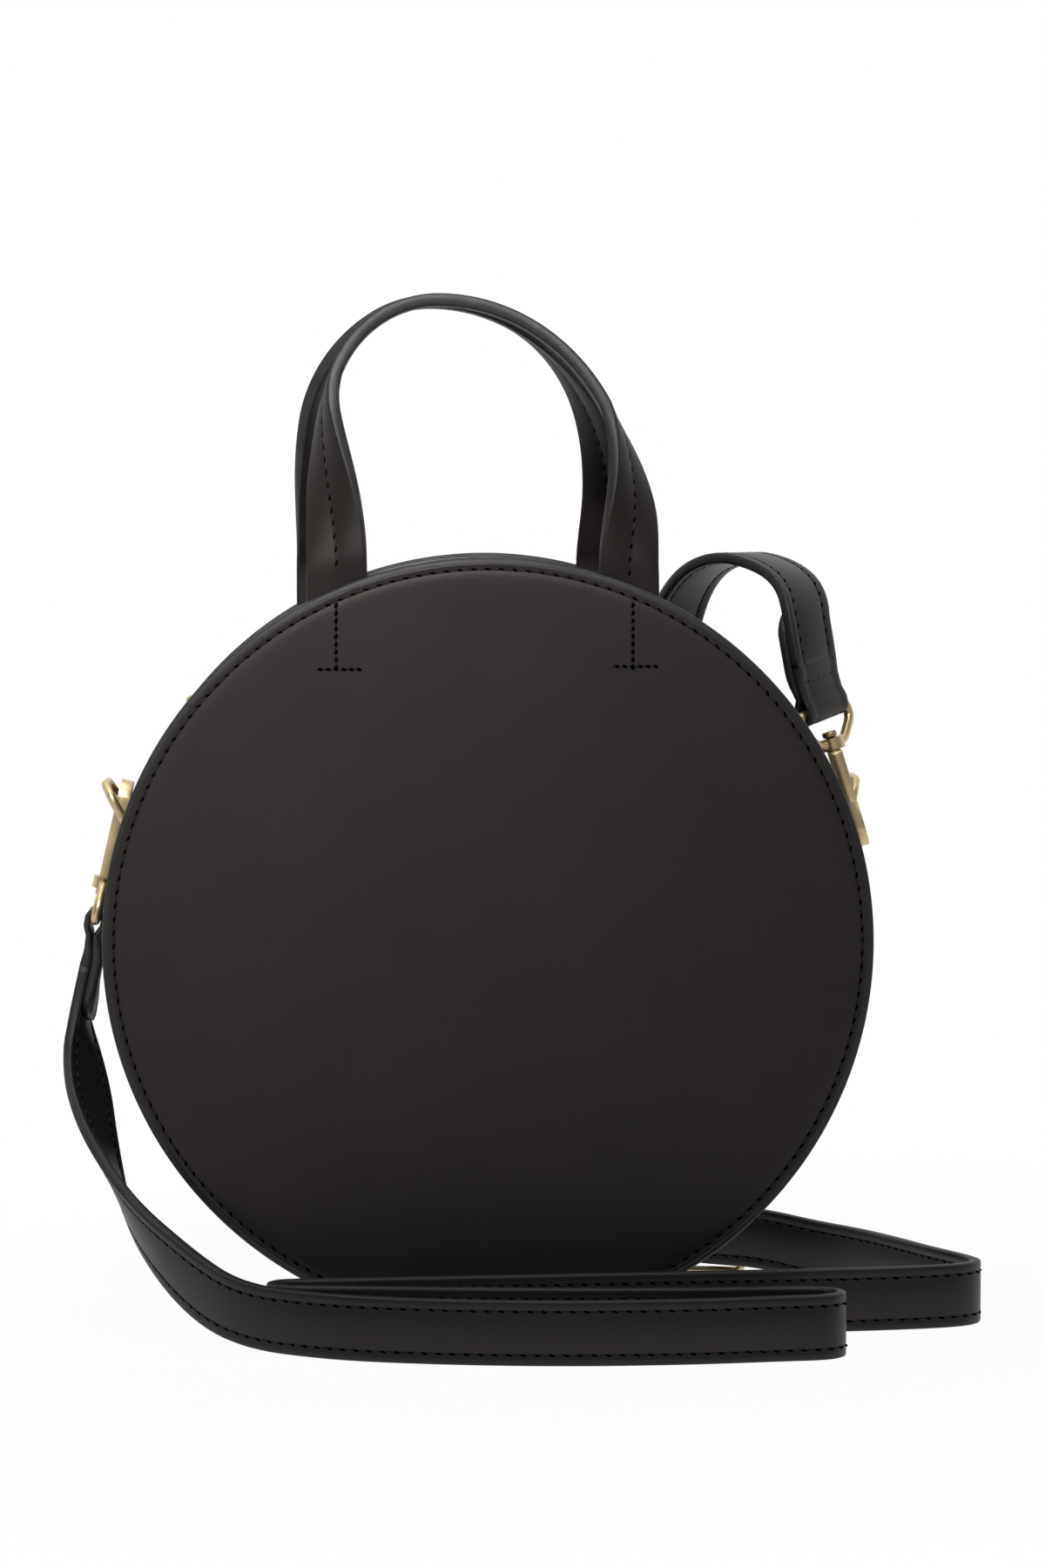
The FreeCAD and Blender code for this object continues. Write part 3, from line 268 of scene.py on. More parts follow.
def strip_outline(width, thickness, dip_places, dip):
    """The outline of a leather strip, dipped under its stitches.

    Gives the (across, up) points round it and the columns of its painted edges.
    """
    half, up = width / 2, thickness / 2
    corner = min(0.7, up * 0.7)
    face = [-half + corner]
    for place in sorted(dip_places):
        face += [place - DIP_HALF_WIDTH, place, place + DIP_HALF_WIDTH]
    face += [0.0] if 0.0 not in dip_places else []
    face = sorted(face + [half - corner])
    top = [(place, up - (dip if place in dip_places else 0.0)) for place in face]
    side = [(half - corner * 0.3, up - corner * 0.3), (half, up - corner), (half + EDGE_SWELL, 0.0),
            (half, -up + corner), (half - corner * 0.3, -up + corner * 0.3)]
    bottom = [(place, -height) for place, height in reversed(top)]
    other = [(-place, -height) for place, height in side]
    outline = top + side + bottom + other
    first = len(top)
    edges = set(range(first, first + len(side) - 1))
    second = first + len(side) + len(bottom)
    edges |= set(range(second, second + len(other) - 1))
    return outline, edges


def square_to(direction, axis):
    """The part of a direction that is square to a unit axis, as a unit direction."""
    return (direction - axis * direction.dot(axis)).normalized()


def frame_axes(heading, side):
    """Unit directions along a strip, across it and out of its face."""
    heading = heading.normalized()
    side = square_to(side, heading)
    return heading, side, heading.cross(side)


def strip_rings(stations, outline):
    """Rings of a strip along its stations.

    Each station has a point, a heading, the side direction, a share of the thickness and, if it
    differs from 1, a share of the width.
    """
    rings = []
    for point, heading, side, share, *width in stations:
        heading, side, up = frame_axes(heading, side)
        wide = width[0] if width else 1.0
        rings.append([point + side * (across * wide) + up * (height * share) for across, height in outline])
    return rings


def resample(points, pitch):
    """Even places along a line of points: (row before, share of the way to the next)."""
    places, left = [], pitch / 2
    for row in range(len(points) - 1):
        run = (points[row + 1] - points[row]).length
        while left <= run and run > 0:
            places.append((row, left / run))
            left += pitch
        left -= run
    return places


# Sections of one slit: height over the leather and share of its size
SLIT_SECTIONS = [(-0.3, 0.6), (0.05, 1.0)]
SLIT_CORNERS = 8


def lens(verts, faces, centre, ahead, across, up, length, width):
    """A flat closed lozenge with its top just over the leather, at the slit that a stitch goes into: a
    near-black sheet of painted shade for the hole.
    """
    start, corners = len(verts), SLIT_CORNERS
    for rise, size in SLIT_SECTIONS:
        for corner in range(corners):
            turn = 2 * math.pi * corner / corners
            verts.append(centre + ahead * (math.cos(turn) * size * length / 2)
                         + across * (math.sin(turn) * size * width / 2) + up * rise)
    for corner in range(corners):
        onward = (corner + 1) % corners
        faces.append((start + corner, start + onward, start + corners + onward, start + corners + corner))
    faces.append(tuple(start + corner for corner in reversed(range(corners))))
    faces.append(tuple(start + corners + corner for corner in range(corners)))


# Sections of one stitch: place along its length, size and rise, as shares
STITCH_SHAPE = [(-0.5, 0.35, -0.5), (-0.36, 0.9, 0.0), (0.0, 1.0, 0.16), (0.36, 0.9, 0.0), (0.5, 0.35, -0.5)]
STITCH_SIDES = 6
STITCH_SLANT = 0.12
STITCH_FLATNESS = 0.8


def stitches(name, points, ups, pitch=STITCH_PITCH, length=STITCH_LENGTH, slit_length=HOLE_LENGTH,
             slit_width=HOLE_WIDTH, sink=0.0):
    """Short threads along a line of points, with a near-black lozenge of painted shade, the dark of a stitch
    hole, between each two.

    The ups point out of the leather.
    """
    verts, faces, indices = [], [], []
    shape, sides = STITCH_SHAPE, STITCH_SIDES
    for row, share in resample(points, pitch):
        centre = points[row].lerp(points[row + 1], share)
        up = ups[row].lerp(ups[row + 1], share).normalized()
        straight = (points[row + 1] - points[row]).normalized()
        up = square_to(up, straight)
        ahead = (straight + straight.cross(up) * STITCH_SLANT).normalized()
        across = ahead.cross(up)
        start = len(verts)
        for along, size, rise in shape:
            for corner in range(sides):
                angle = 2 * math.pi * corner / sides
                sideways = math.cos(angle) * size * THREAD / 2
                upward = (math.sin(angle) * size * STITCH_FLATNESS + rise) * THREAD / 2 - sink
                verts.append(centre + ahead * (along * length) + across * sideways + up * upward)
        for ring in range(len(shape) - 1):
            for corner in range(sides):
                onward = (corner + 1) % sides
                low, high = start + ring * sides, start + (ring + 1) * sides
                faces.append((low + corner, low + onward, high + onward, high + corner))
        faces.append(tuple(start + corner for corner in reversed(range(sides))))
        end = start + (len(shape) - 1) * sides
        faces.append(tuple(end + corner for corner in range(sides)))
        indices += [0] * (len(faces) - len(indices))
        between = centre + straight * (pitch / 2)
        slanted = (straight + across * SLIT_SLANT).normalized()
        lens(verts, faces, between, slanted, across, up, slit_length, slit_width)
        indices += [1] * (len(faces) - len(indices))
    return mesh_from(name, verts, faces, indices)


def sewing_row(name, points, ups, body="bag", slot="panel_leather", **how):
    """A row of stitches as a piece that rides on a body."""
    return new_piece(name, stitches(name, points, ups, **how), body, materials=SEWING)


def seen_rays(tree):
    """One for rays from the camera or off a glossy or clear surface, and nought for plain lighting."""
    rays = tree.nodes.new("ShaderNodeLightPath")
    shown = rays.outputs["Is Camera Ray"]
    for kind in ("Is Glossy Ray", "Is Transmission Ray"):
        either = tree.nodes.new("ShaderNodeMath")
        either.operation = "MAXIMUM"
        tree.links.new(shown, either.inputs[0])
        tree.links.new(rays.outputs[kind], either.inputs[1])
        shown = either.outputs["Value"]
    return shown


def ease(share):
    """A smooth start and stop between nought and one."""
    share = min(1.0, max(0.0, share))
    return share * share * (3 - 2 * share)


def polar(radius, angle, depth):
    """A point round the bag's middle, at an angle in degrees from its right side."""
    turn = math.radians(angle)
    return Vector((radius * math.cos(turn), depth, CENTRE_HEIGHT + radius * math.sin(turn)))


# Camera

IMAGE_WIDTH, IMAGE_HEIGHT = 1200, 1800
FOCAL_PX = 6075.0
CAMERA_SIDE, CAMERA_HEIGHT, CAMERA_BACK = -28.0, 247.0, 1538.0
AXIS_PX, HORIZON_PX = 447.6, 530.0
camera_data = bpy.data.cameras.new("camera")
camera_data.sensor_fit = "VERTICAL"
camera_data.sensor_height = 36.0
camera_data.lens = camera_data.sensor_height * FOCAL_PX / IMAGE_HEIGHT
camera = bpy.data.objects.new("camera", camera_data)
scene.collection.objects.link(camera)
camera.location = Vector((CAMERA_SIDE, -CAMERA_BACK, CAMERA_HEIGHT)) * MM
tilt = math.atan2(IMAGE_HEIGHT / 2 - HORIZON_PX, FOCAL_PX)
yaw = math.atan2(IMAGE_WIDTH / 2 - AXIS_PX, FOCAL_PX)
camera.rotation_euler = (math.pi / 2 - tilt, 0, -yaw)
camera_data.clip_end = 20.0
scene.camera = camera

# Shoulder strap: control points of each run, in millimetres, and the direction of its width at each

LEFT_AXIS = Vector((-0.224951, 0, -0.974370))
RIGHT_AXIS = Vector((-0.292372, 0, 0.956305))
LEFT_STRAP_START = Vector((-117.1459, 11.3, 99.8413))
RIGHT_BAR = Vector((96.9343, -11.3, 175.5928))
RIGHT_BAR_SIDE = square_to(Vector((-0.7, -0.7, 0)), RIGHT_AXIS)
RIGHT_END_AXIS = square_to(Vector((-0.07, 0, 1.0)), RIGHT_BAR_SIDE)
END_LENGTH = 14.0
RIGHT_STRAP_START = RIGHT_BAR + RIGHT_END_AXIS * END_LENGTH
BUCKLE = Vector((58.2432, 59.6595, 12.4))
BUCKLE_AHEAD = Vector((0.945946, -0.324324, 0))
BUCKLE_OUT = Vector((0.324324, 0.945946, 0))
LEAD = 11.0
LONG_ROUTE = [
    (LEFT_STRAP_START, (0, -1, 0)), (LEFT_STRAP_START + LEFT_AXIS * LEAD, (0, -1, 0)),
    ((-117.5, 6, 71), (-0.5, -0.87, 0)), ((-113.5, -15, 54), (-0.38, -0.92, 0.1)),
    ((-103, -38, 33), (0.02, -0.8, 0.55)), ((-85, -60, 17), (0.2, -0.35, 0.88)),
    ((-70, -75.5, 9.8), (0.05, -0.1, 1)), ((-46, -91, 9.1), (0, 0, 1)),
    ((-18, -99.5, 9.1), (0, 0, 1)), ((18, -104, 9.1), (0, 0, 1)), ((54, -102, 9.1), (0, 0, 1)),
    ((80, -97, 9.1), (0, 0, 1)), ((91.5, -95.3, 9.1), (0, 0, 1)), ((96.4, -91, 9.1), (0, 0, 1)),
    ((96.4, -85, 9.1), (0, 0, 1)), ((91.5, -81, 9.1), (0, 0, 1)), ((80, -80.5, 9.1), (0, 0, 1)),
    ((52, -82, 9.1), (0, 0, 1)), ((16, -81, 9.1), (0, 0, 1)), ((-18, -78.5, 9.1), (0, 0, 1)),
    ((-44, -75.5, 9.1), (0, 0, 1)),
    ((-57.4, -74.6, 9.1), (0, 0, 1)), ((-61.2, -71.4, 9.1), (0, 0, 1)),
    ((-61.2, -66.6, 9.1), (0, 0, 1)), ((-57.4, -63.2, 9.1), (0, 0, 1)),
    ((-44, -62, 9.1), (0, 0, 1)), ((-18, -59.5, 9.1), (0, 0, 1)), ((20, -55.5, 9.1), (0, 0, 1)),
    ((60, -51.5, 9.1), (0, 0, 1)), ((98, -48, 9.1), (0, 0, 1)), ((124, -43.5, 9.1), (0, 0, 1)),
    ((137, -38.5, 9.1), (0, 0, 1)), ((141, -31, 9.1), (0, 0, 1)), ((138, -22, 9.1), (0, 0, 1)),
    ((129.5, -6, 9.1), (0, 0, 1)), ((121.6, 12, 9.1), (0, 0, 1)), ((112.5, 30, 9.1), (0, 0, 1)),
    ((99, 43.5, 9.8), (0, 0, 1)),
]
TAIL_HEIGHT = 5.0
for along, height in [(27.0, 0.0), (14.4, 0.42), (4.0, 1.0), (-6.0, 1.06), (-15.0, 1.0)]:
    LONG_ROUTE.append((BUCKLE + BUCKLE_AHEAD * along + BUCKLE_OUT * (TAIL_HEIGHT * height), (0, 0, 1)))
SHORT_ROUTE = [
    (RIGHT_STRAP_START, RIGHT_BAR_SIDE), (RIGHT_STRAP_START + RIGHT_END_AXIS * LEAD, (-0.7, -0.7, 0)),
    ((91, -7.5, 211), (-0.7, -0.7, 0)), ((84.5, 3, 217), (-0.7, -0.7, 0)), ((73, 19, 219.8), (-0.7, -0.7, 0)),
    ((62.5, 38.5, 213.5), (-0.75, -0.65, 0)), ((56, 50, 196), (-0.9, -0.4, 0)), ((52.5, 52, 172), (-1, 0, 0)),
    ((48.5, 54, 146), (-1, 0.15, 0)), ((39, 57.5, 120), (-0.85, 0.5, 0)), ((29, 62, 92), (-0.6, 0.8, 0)),
    ((21, 66.5, 64), (-0.3, 0.95, 0)), ((18, 70, 40), (0, 0.9, 0.4)), ((22, 71.2, 22), (0, 0.5, 0.87)),
    ((31, 69, 12.4), (0, 0.1, 1)), ((45, 64.2, 12.4), (0, 0, 1)),
]
STRAP_STITCH_INSET = 3.0
STRAP_DIP, STITCH_SEAT = 0.28, 0.18
STRAP_RESOLUTION = 10


def spline_points(name, places):
    """Points read from a NURBS spline with these control points."""
    curve = bpy.data.curves.new(name, "CURVE")
    curve.dimensions = "3D"
    curve.resolution_u = STRAP_RESOLUTION
    spline = curve.splines.new("NURBS")
    spline.points.add(len(places) - 1)
    for point, place in zip(spline.points, places):
        point.co = (*place, 1.0)
    spline.order_u = 3
    spline.use_endpoint_u = True
    holder = bpy.data.objects.new(name, curve)
    scene.collection.objects.link(holder)
    bpy.context.view_layer.update()
    mesh = bpy.data.meshes.new_from_object(holder)
    points = [vertex.co.copy() for vertex in mesh.vertices]
    bpy.data.objects.remove(holder)
    bpy.data.meshes.remove(mesh)
    return points


def strap_stations(name, route):
    """The smooth line of a strap and the direction of its width along it, as stations."""
    line = spline_points(name + "_line", [point for point, side in route])
    sides = spline_points(name + "_sides", [side for point, side in route])
    stations = []
    for row, point in enumerate(line):
        heading = line[min(row + 1, len(line) - 1)] - line[max(row - 1, 0)]
        stations.append((point, heading, sides[row], 1.0))
    return line, stations


def strap_stitches(name, stations, offset, height):
    """A row of stitches on a strap's face, at a distance from its middle."""
    points, ups = [], []
    for point, heading, side, share in stations:
        heading, side, up = frame_axes(heading, side)
        face = up if height > 0 else -up
        points.append(point + side * offset + up * (height * share))
        ups.append(face)
    return sewing_row(name, points, ups, slot="strap_leather")


def make_strap(name, route):
    """One run of the strap, its centre line and stations, and its stitches."""
    route = [(Vector(point), Vector(side)) for point, side in route]
    line, stations = strap_stations(name, route)
    inset = STRAP_WIDTH / 2 - STRAP_STITCH_INSET
    outline, edges = strip_outline(STRAP_WIDTH, STRAP_THICKNESS, [-inset, inset], STRAP_DIP)
    mesh = loft(f"{name}_leather", strip_rings(stations, outline), edge_columns=edges)
    piece = new_piece(f"{name}_leather", mesh, "bag", [name], [STRAP_LEATHER, EDGE])
    threads = []
    seat = STRAP_THICKNESS / 2 - STITCH_SEAT
    for face, height in (("outer", seat), ("inner", -seat)):
        for edge, offset in (("a", -inset), ("b", inset)):
            threads.append(strap_stitches(f"{name}_stitch_{face}_{edge}", stations, offset, height))
    return piece, line, stations, threads


strap_long, long_line, long_stations, long_threads = make_strap("strap_long", LONG_ROUTE)
strap_short, short_line, short_stations, short_threads = make_strap("strap_short", SHORT_ROUTE)

# Panels: leather discs with a stitched groove and a painted, rounded edge

PANEL_RINGS = [(12, 0.0), (30, 0.0), (48, 0.0), (66, 0.0), (82, 0.0), (94, 0.0), (100.5, 0.0), (104.0, 0.03),
               (105.2, 0.12), (106.0, 0.28), (106.6, 0.40), (107.2, 0.28), (107.7, 0.16), (108.1, 0.15),
               (108.35, 0.26), (108.5, 0.50), (108.75, 0.62), (109.2, 0.70), (109.6, 0.88), (109.88, 1.2),
               (110.0, 1.6), (109.9, 2.05), (109.6, 2.32), (109.2, 2.4), (100, 2.4), (50, 2.4)]
PANEL_EDGE_RADIUS = 108.3
PANEL_STEPS = 216
PANEL_FLAT_RADIUS = 104.0
PANEL_HOLLOW = 0.15
SEAM_SINK, HALF_DEGREES = 0.30, 721

# Sewing of the handles' roots: place across, height of the bar
ROOT_SEAMS = {"left": (-43.2, 188.2), "right": (41.0, 189.0)}
ROOT_SEAM_TOP, ROOT_BAR_HALF, ROOT_SEAM_LIFT = 208.5, 6.7, 0.02
ROOT_STITCH = {"pitch": 2.2, "length": 1.1, "slit_length": 1.5, "slit_width": 1.05}


def softness(x, z):
    """A very slight unevenness of the stiffened leather, in millimetres."""
    broad = 0.10 * math.sin(x * 0.041 + 1.1) * math.sin(z * 0.037 + 0.4)
    return broad + 0.05 * math.sin(x * 0.083 - z * 0.061)


def panel(name, facing, node, seam_shift):
    """One leather disc, its round seam and the sewing of the handle's two roots."""
    points, faces, indices = [], [], []
    for radius, depth in PANEL_RINGS:
        fade = max(0.0, 1.0 - radius / PANEL_FLAT_RADIUS) if depth < 1.0 else 0.0
        for step in range(PANEL_STEPS):
            point = polar(radius, 360.0 * step / PANEL_STEPS, 0.0)
            inward = depth + fade * (PANEL_HOLLOW + softness(point.x, point.z))
            points.append(Vector((point.x, facing * (PANEL_FACE - inward), point.z)))
    for row in range(len(PANEL_RINGS) - 1):
        painted = PANEL_RINGS[row][0] > PANEL_EDGE_RADIUS
        for step in range(PANEL_STEPS):
            onward = (step + 1) % PANEL_STEPS
            low, high = row * PANEL_STEPS, (row + 1) * PANEL_STEPS
            face = (low + step, low + onward, high + onward, high + step)
            faces.append(face if facing < 0 else tuple(reversed(face)))
            indices.append(1 if painted else 0)
    last = (len(PANEL_RINGS) - 1) * PANEL_STEPS
    front, back = range(PANEL_STEPS), range(last, last + PANEL_STEPS)
    faces += [tuple(reversed(front)), tuple(back)] if facing < 0 else [tuple(front), tuple(reversed(back))]
    indices += [0, 0]
    mesh = mesh_from(name, points, faces, indices)
    new_piece(name, mesh, "bag", [node], [PANEL_LEATHER, EDGE])
    outward = Vector((0, facing, 0))
    depth = facing * (PANEL_FACE - SEAM_SINK)
    line = [polar(STITCH_RADIUS, 0.5 * step, depth) for step in range(HALF_DEGREES)]
    sewing_row(name + "_stitches", line, [outward] * len(line))
    for side, (place, bar_height) in ROOT_SEAMS.items():
        place -= seam_shift
        face = facing * (PANEL_FACE + ROOT_SEAM_LIFT)
        stem = [Vector((place, face, ROOT_SEAM_TOP)), Vector((place, face, bar_height))]
        bar = [Vector((place + reach, face, bar_height)) for reach in (-ROOT_BAR_HALF, ROOT_BAR_HALF)]
        for part, run in (("stem", stem), ("bar", bar)):
            sewing_row(f"{name}_{side}_{part}", run, [outward] * 2, **ROOT_STITCH)


BACK_HANDLE_SHIFT = 4.0
panel("front_leather", -1, "front_panel", 0.0)
panel("back_leather", 1, "back_panel", BACK_HANDLE_SHIFT)

# Gusset: a strip round the bag whose edges turn out behind the panels

# Profile of a turned-out edge: radius and depth
BEND_IN = [(GUSSET_RADIUS, 31.6), (106.15, 32.8), (106.7, 33.6), (107.5, 33.95), (109.0, 34.0),
           (109.35, 34.3), (109.4, 34.8), (109.35, 35.3), (109.0, PANEL_INSIDE), (105.2, PANEL_INSIDE),
           (GUSSET_INSIDE, 34.9)]
FOLD = [(GUSSET_INSIDE, 7.0), (104.5, 6.4), (105.2, ZIP_HALF_OPENING), (105.8, 6.4), (GUSSET_RADIUS, 7.2)]
TAPE_PROFILE = [(104.35, 15.6), (104.35, 2.2), (104.2, 0.75), (103.6, 0.75), (103.45, 2.2), (103.45, 15.6)]
UPPER_EDGE_COLUMNS = {4, 5, 6, 7}
LOWER_EDGE_COLUMNS = UPPER_EDGE_COLUMNS | {16, 17, 18, 19}
GUSSET_STEP = 1.5
MIDDLE_DEPTH = 15.0
ZIP_SEAM_DEPTH, ZIP_SEAM_INSET, ZIP_SEAM_POINTS = 8.6, 1.0, 261
FLANGE_FACE = 33.85
END_SEAM_INSET, END_SEAM_HALF = 1.6, 32.0


def outward_at(angle):
    """Direction away from the bag's middle."""
    return polar(1.0, angle, 0.0) - Vector((0, 0, CENTRE_HEIGHT))


def arc_band(name, profile, start, end, edge_columns=()):
    """A profile swept round the bag from one angle to another."""
    count = math.ceil((end - start) / GUSSET_STEP)
    rings = [[polar(radius, start + (end - start) * row / count, depth) for radius, depth in profile]
             for row in range(count + 1)]
    return loft(name, rings, edge_columns=edge_columns)


lower_profile = BEND_IN + [(GUSSET_INSIDE, depth) for depth in (MIDDLE_DEPTH, -MIDDLE_DEPTH)]
lower_profile += [(radius, -depth) for radius, depth in reversed(BEND_IN)]
lower_profile += [(GUSSET_RADIUS, depth) for depth in (-MIDDLE_DEPTH, 0.0, MIDDLE_DEPTH)]
lower_mesh = arc_band("gusset_leather", lower_profile, ZIP_END, 360.0 + ZIP_START, LOWER_EDGE_COLUMNS)
new_piece("gusset_leather", lower_mesh, "bag", ["lower_gusset"], [PANEL_LEATHER, EDGE])
for label, facing in (("front", -1), ("back", 1)):
    name = f"{label}_zip_leather"
    profile = [(radius, facing * depth) for radius, depth in BEND_IN + FOLD]
    mesh = arc_band(name, profile, ZIP_START, ZIP_END, UPPER_EDGE_COLUMNS)
    new_piece(name, mesh, "bag", [f"{label}_zip_gusset"], [PANEL_LEATHER, EDGE])
    name = f"{label}_zip_cloth"
    profile = [(radius, facing * depth) for radius, depth in TAPE_PROFILE]
    mesh = arc_band(name, profile, ZIP_START, ZIP_END)
    new_piece(name, mesh, "bag", [f"{label}_zip_tape"], [TAPE])
    angles = [ZIP_START + ZIP_SEAM_INSET + 0.5 * step for step in range(ZIP_SEAM_POINTS)]
    run = [polar(GUSSET_RADIUS, angle, facing * ZIP_SEAM_DEPTH) for angle in angles]
    sewing_row(f"{label}_zip_stitches", run, [outward_at(angle) for angle in angles])
    run = [polar(STITCH_RADIUS, 0.5 * step, facing * FLANGE_FACE) for step in range(HALF_DEGREES)]
    sewing_row(f"{label}_flange_stitches", run, [Vector((0, -facing, 0))] * len(run))
for label, angle in (("left", ZIP_END + END_SEAM_INSET), ("right", ZIP_START - END_SEAM_INSET)):
    run = [polar(GUSSET_RADIUS, angle, depth) for depth in (-END_SEAM_HALF, END_SEAM_HALF)]
    sewing_row(f"{label}_gusset_seam", run, [outward_at(angle)] * 2)

# Handles: strips that leave the seam flat and turn on edge at the top of the arch

HANDLE_LEFT, HANDLE_RIGHT, HANDLE_APEX = -43.0, 40.0, -14.0
LEFT_BOW, RIGHT_BOW = 2.7, 0.8
HANDLE_LOW, HANDLE_TOP, LEFT_CURVE_RISE, RIGHT_CURVE_RISE = 218.0, 293.4, 33.9, 59.6
HANDLE_ROOT_Y, HANDLE_TOP_Y = 34.9, 8.75
HANDLE_SEAM, HANDLE_FOOT = 190.0, 214.5
ROOT_HEIGHTS = (HANDLE_SEAM, 200.0, 210.0, HANDLE_FOOT)
BEND_LOW, BEND_HIGH = 213.5, 222.5
GROWTH_HEIGHT = 8.0
TWIST_HEIGHTS = {("front", "left"): (213.0, 270.0), ("front", "right"): (211.0, 261.0),
                 ("back", "left"): (213.0, 288.0), ("back", "right"): (213.0, 286.0)}
EVEN_TWIST = 0.7
SHIFT_FADE = 0.45
SEAM_SHARE = 0.36
HANDLE_DIP, HANDLE_STITCH_SEAT, HANDLE_STITCH_SINK = 0.3, 0.2, 0.14
ARC_STEPS, LEG_STEPS = 36, 16


def handle_line():
    """Centre line in the plane of the arch: across and up."""
    line = [(HANDLE_LEFT, height) for height in ROOT_HEIGHTS]
    leg = HANDLE_TOP - LEFT_CURVE_RISE - HANDLE_LOW
    for step in range(LEG_STEPS):
        share = step / LEG_STEPS
        line.append((HANDLE_LEFT - LEFT_BOW * ease(share), HANDLE_LOW + leg * share))
    for step in range(ARC_STEPS + 1):
        turn = math.pi / 2 * step / ARC_STEPS
        line.append((HANDLE_APEX + (HANDLE_LEFT - LEFT_BOW - HANDLE_APEX) * math.cos(turn),
                     HANDLE_TOP - LEFT_CURVE_RISE * (1 - math.sin(turn))))
    for step in range(1, ARC_STEPS + 1):
        turn = math.pi / 2 * step / ARC_STEPS
        line.append((HANDLE_APEX + (HANDLE_RIGHT + RIGHT_BOW - HANDLE_APEX) * math.sin(turn),
                     HANDLE_TOP - RIGHT_CURVE_RISE * (1 - math.cos(turn))))
    leg = HANDLE_TOP - RIGHT_CURVE_RISE - HANDLE_LOW
    for step in range(1, LEG_STEPS // 2 + 1):
        share = 2 * step / LEG_STEPS
        line.append((HANDLE_RIGHT + RIGHT_BOW * (1 - ease(share)), HANDLE_LOW + leg * (1 - share)))
    return line + [(HANDLE_RIGHT, height) for height in reversed(ROOT_HEIGHTS)]


def handle_stations(facing, shift):
    """The handle's line leant towards the zip, with its twist and thickness."""
    line = handle_line()
    flat = []
    for across, height in line:
        rise = max(0.0, (height - HANDLE_LOW) / (HANDLE_TOP - HANDLE_LOW))
        depth = HANDLE_ROOT_Y + (HANDLE_TOP_Y - HANDLE_ROOT_Y) * rise
        aside = shift * (1 - SHIFT_FADE * rise)
        flat.append((Vector((across - aside, facing * depth, height)), rise, across < HANDLE_APEX))
    stations = []
    for row, (point, rise, on_left) in enumerate(flat):
        heading = flat[min(row + 1, len(flat) - 1)][0] - flat[max(row - 1, 0)][0]
        low, high = TWIST_HEIGHTS["front" if facing < 0 else "back", "left" if on_left else "right"]
        turned = min(1.0, max(0.0, (point.z - low) / (high - low)))
        twist = math.pi / 2 * (EVEN_TWIST * turned + (1 - EVEN_TWIST) * ease(turned))
        across = math.cos(twist) if on_left else -math.cos(twist)
        side = Vector((across, facing * math.sin(twist), 0))
        growth = (point.z - HANDLE_FOOT) / GROWTH_HEIGHT
        thickness = SEAM_SHARE + (1.0 - SEAM_SHARE) * min(1.0, max(0.0, growth))
        stations.append((point, heading, side, thickness))
    return stations


def handle(label, facing, shift):
    """One handle with the stitches along the middle of both its faces."""
    stations = handle_stations(facing, shift)
    outline, edges = strip_outline(HANDLE_WIDTH, HANDLE_THICKNESS, [0.0], HANDLE_DIP)
    mesh = loft(f"{label}_handle_leather", strip_rings(stations, outline), edge_columns=edges)
    piece = new_piece(f"{label}_handle_leather", mesh, None,
                      [f"{label}_handle", f"{label}_handle_anchors"], [HANDLE_LEATHER, EDGE])
    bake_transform(piece)
    upper = [station for station in stations if station[0].z > BEND_LOW]
    for face, height in (("outer", 1.0), ("inner", -1.0)):
        name = f"{label}_handle_stitch_{face}"
        points, ups = [], []
        for point, heading, side, share in upper:
            heading, side, up = frame_axes(heading, side)
            points.append(point + up * (height * (HANDLE_THICKNESS / 2 - HANDLE_STITCH_SEAT) * share))
            ups.append(up * height)
        thread_piece = sewing_row(name, points, ups, None, "handle_leather", sink=HANDLE_STITCH_SINK)
        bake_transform(thread_piece)


handle("front", -1, 0.0)
handle("back", 1, BACK_HANDLE_SHIFT)

# Side tabs: strips folded round the bars of the D-rings and sewn to the gusset

TAB_ANGLE, TAB_WIDTH, TAB_LAYER, TAB_STITCH = 17.0, 10.0, 1.2, 3.3
BAR_DISTANCE, TAB_FOLD = 108.58, 1.98
TAB_INNER, TAB_OUTER = 106.62, 107.82
TAB_DIP, TAB_STITCH_LIFT, TAB_FALL = 0.12, 0.55, 4.5
FOLD_STEP = 15.0
TAB_BACK_ANGLES = (-3.3, 0.0, 3.0, 6.0, 9.0, 12.0, 14.5)
CROSS_STITCH = {"pitch": 2.2, "length": 1.9}


def with_headings(points, sides, shares, widths=None):
    """Stations along a line of points, each heading from the point before to the one after."""
    stations = []
    for row, point in enumerate(points):
        heading = points[min(row + 1, len(points) - 1)] - points[max(row - 1, 0)]
        station = (point, heading, sides[row] if isinstance(sides, list) else sides, shares[row])
        stations.append(station + (widths[row],) if widths else station)
    return stations


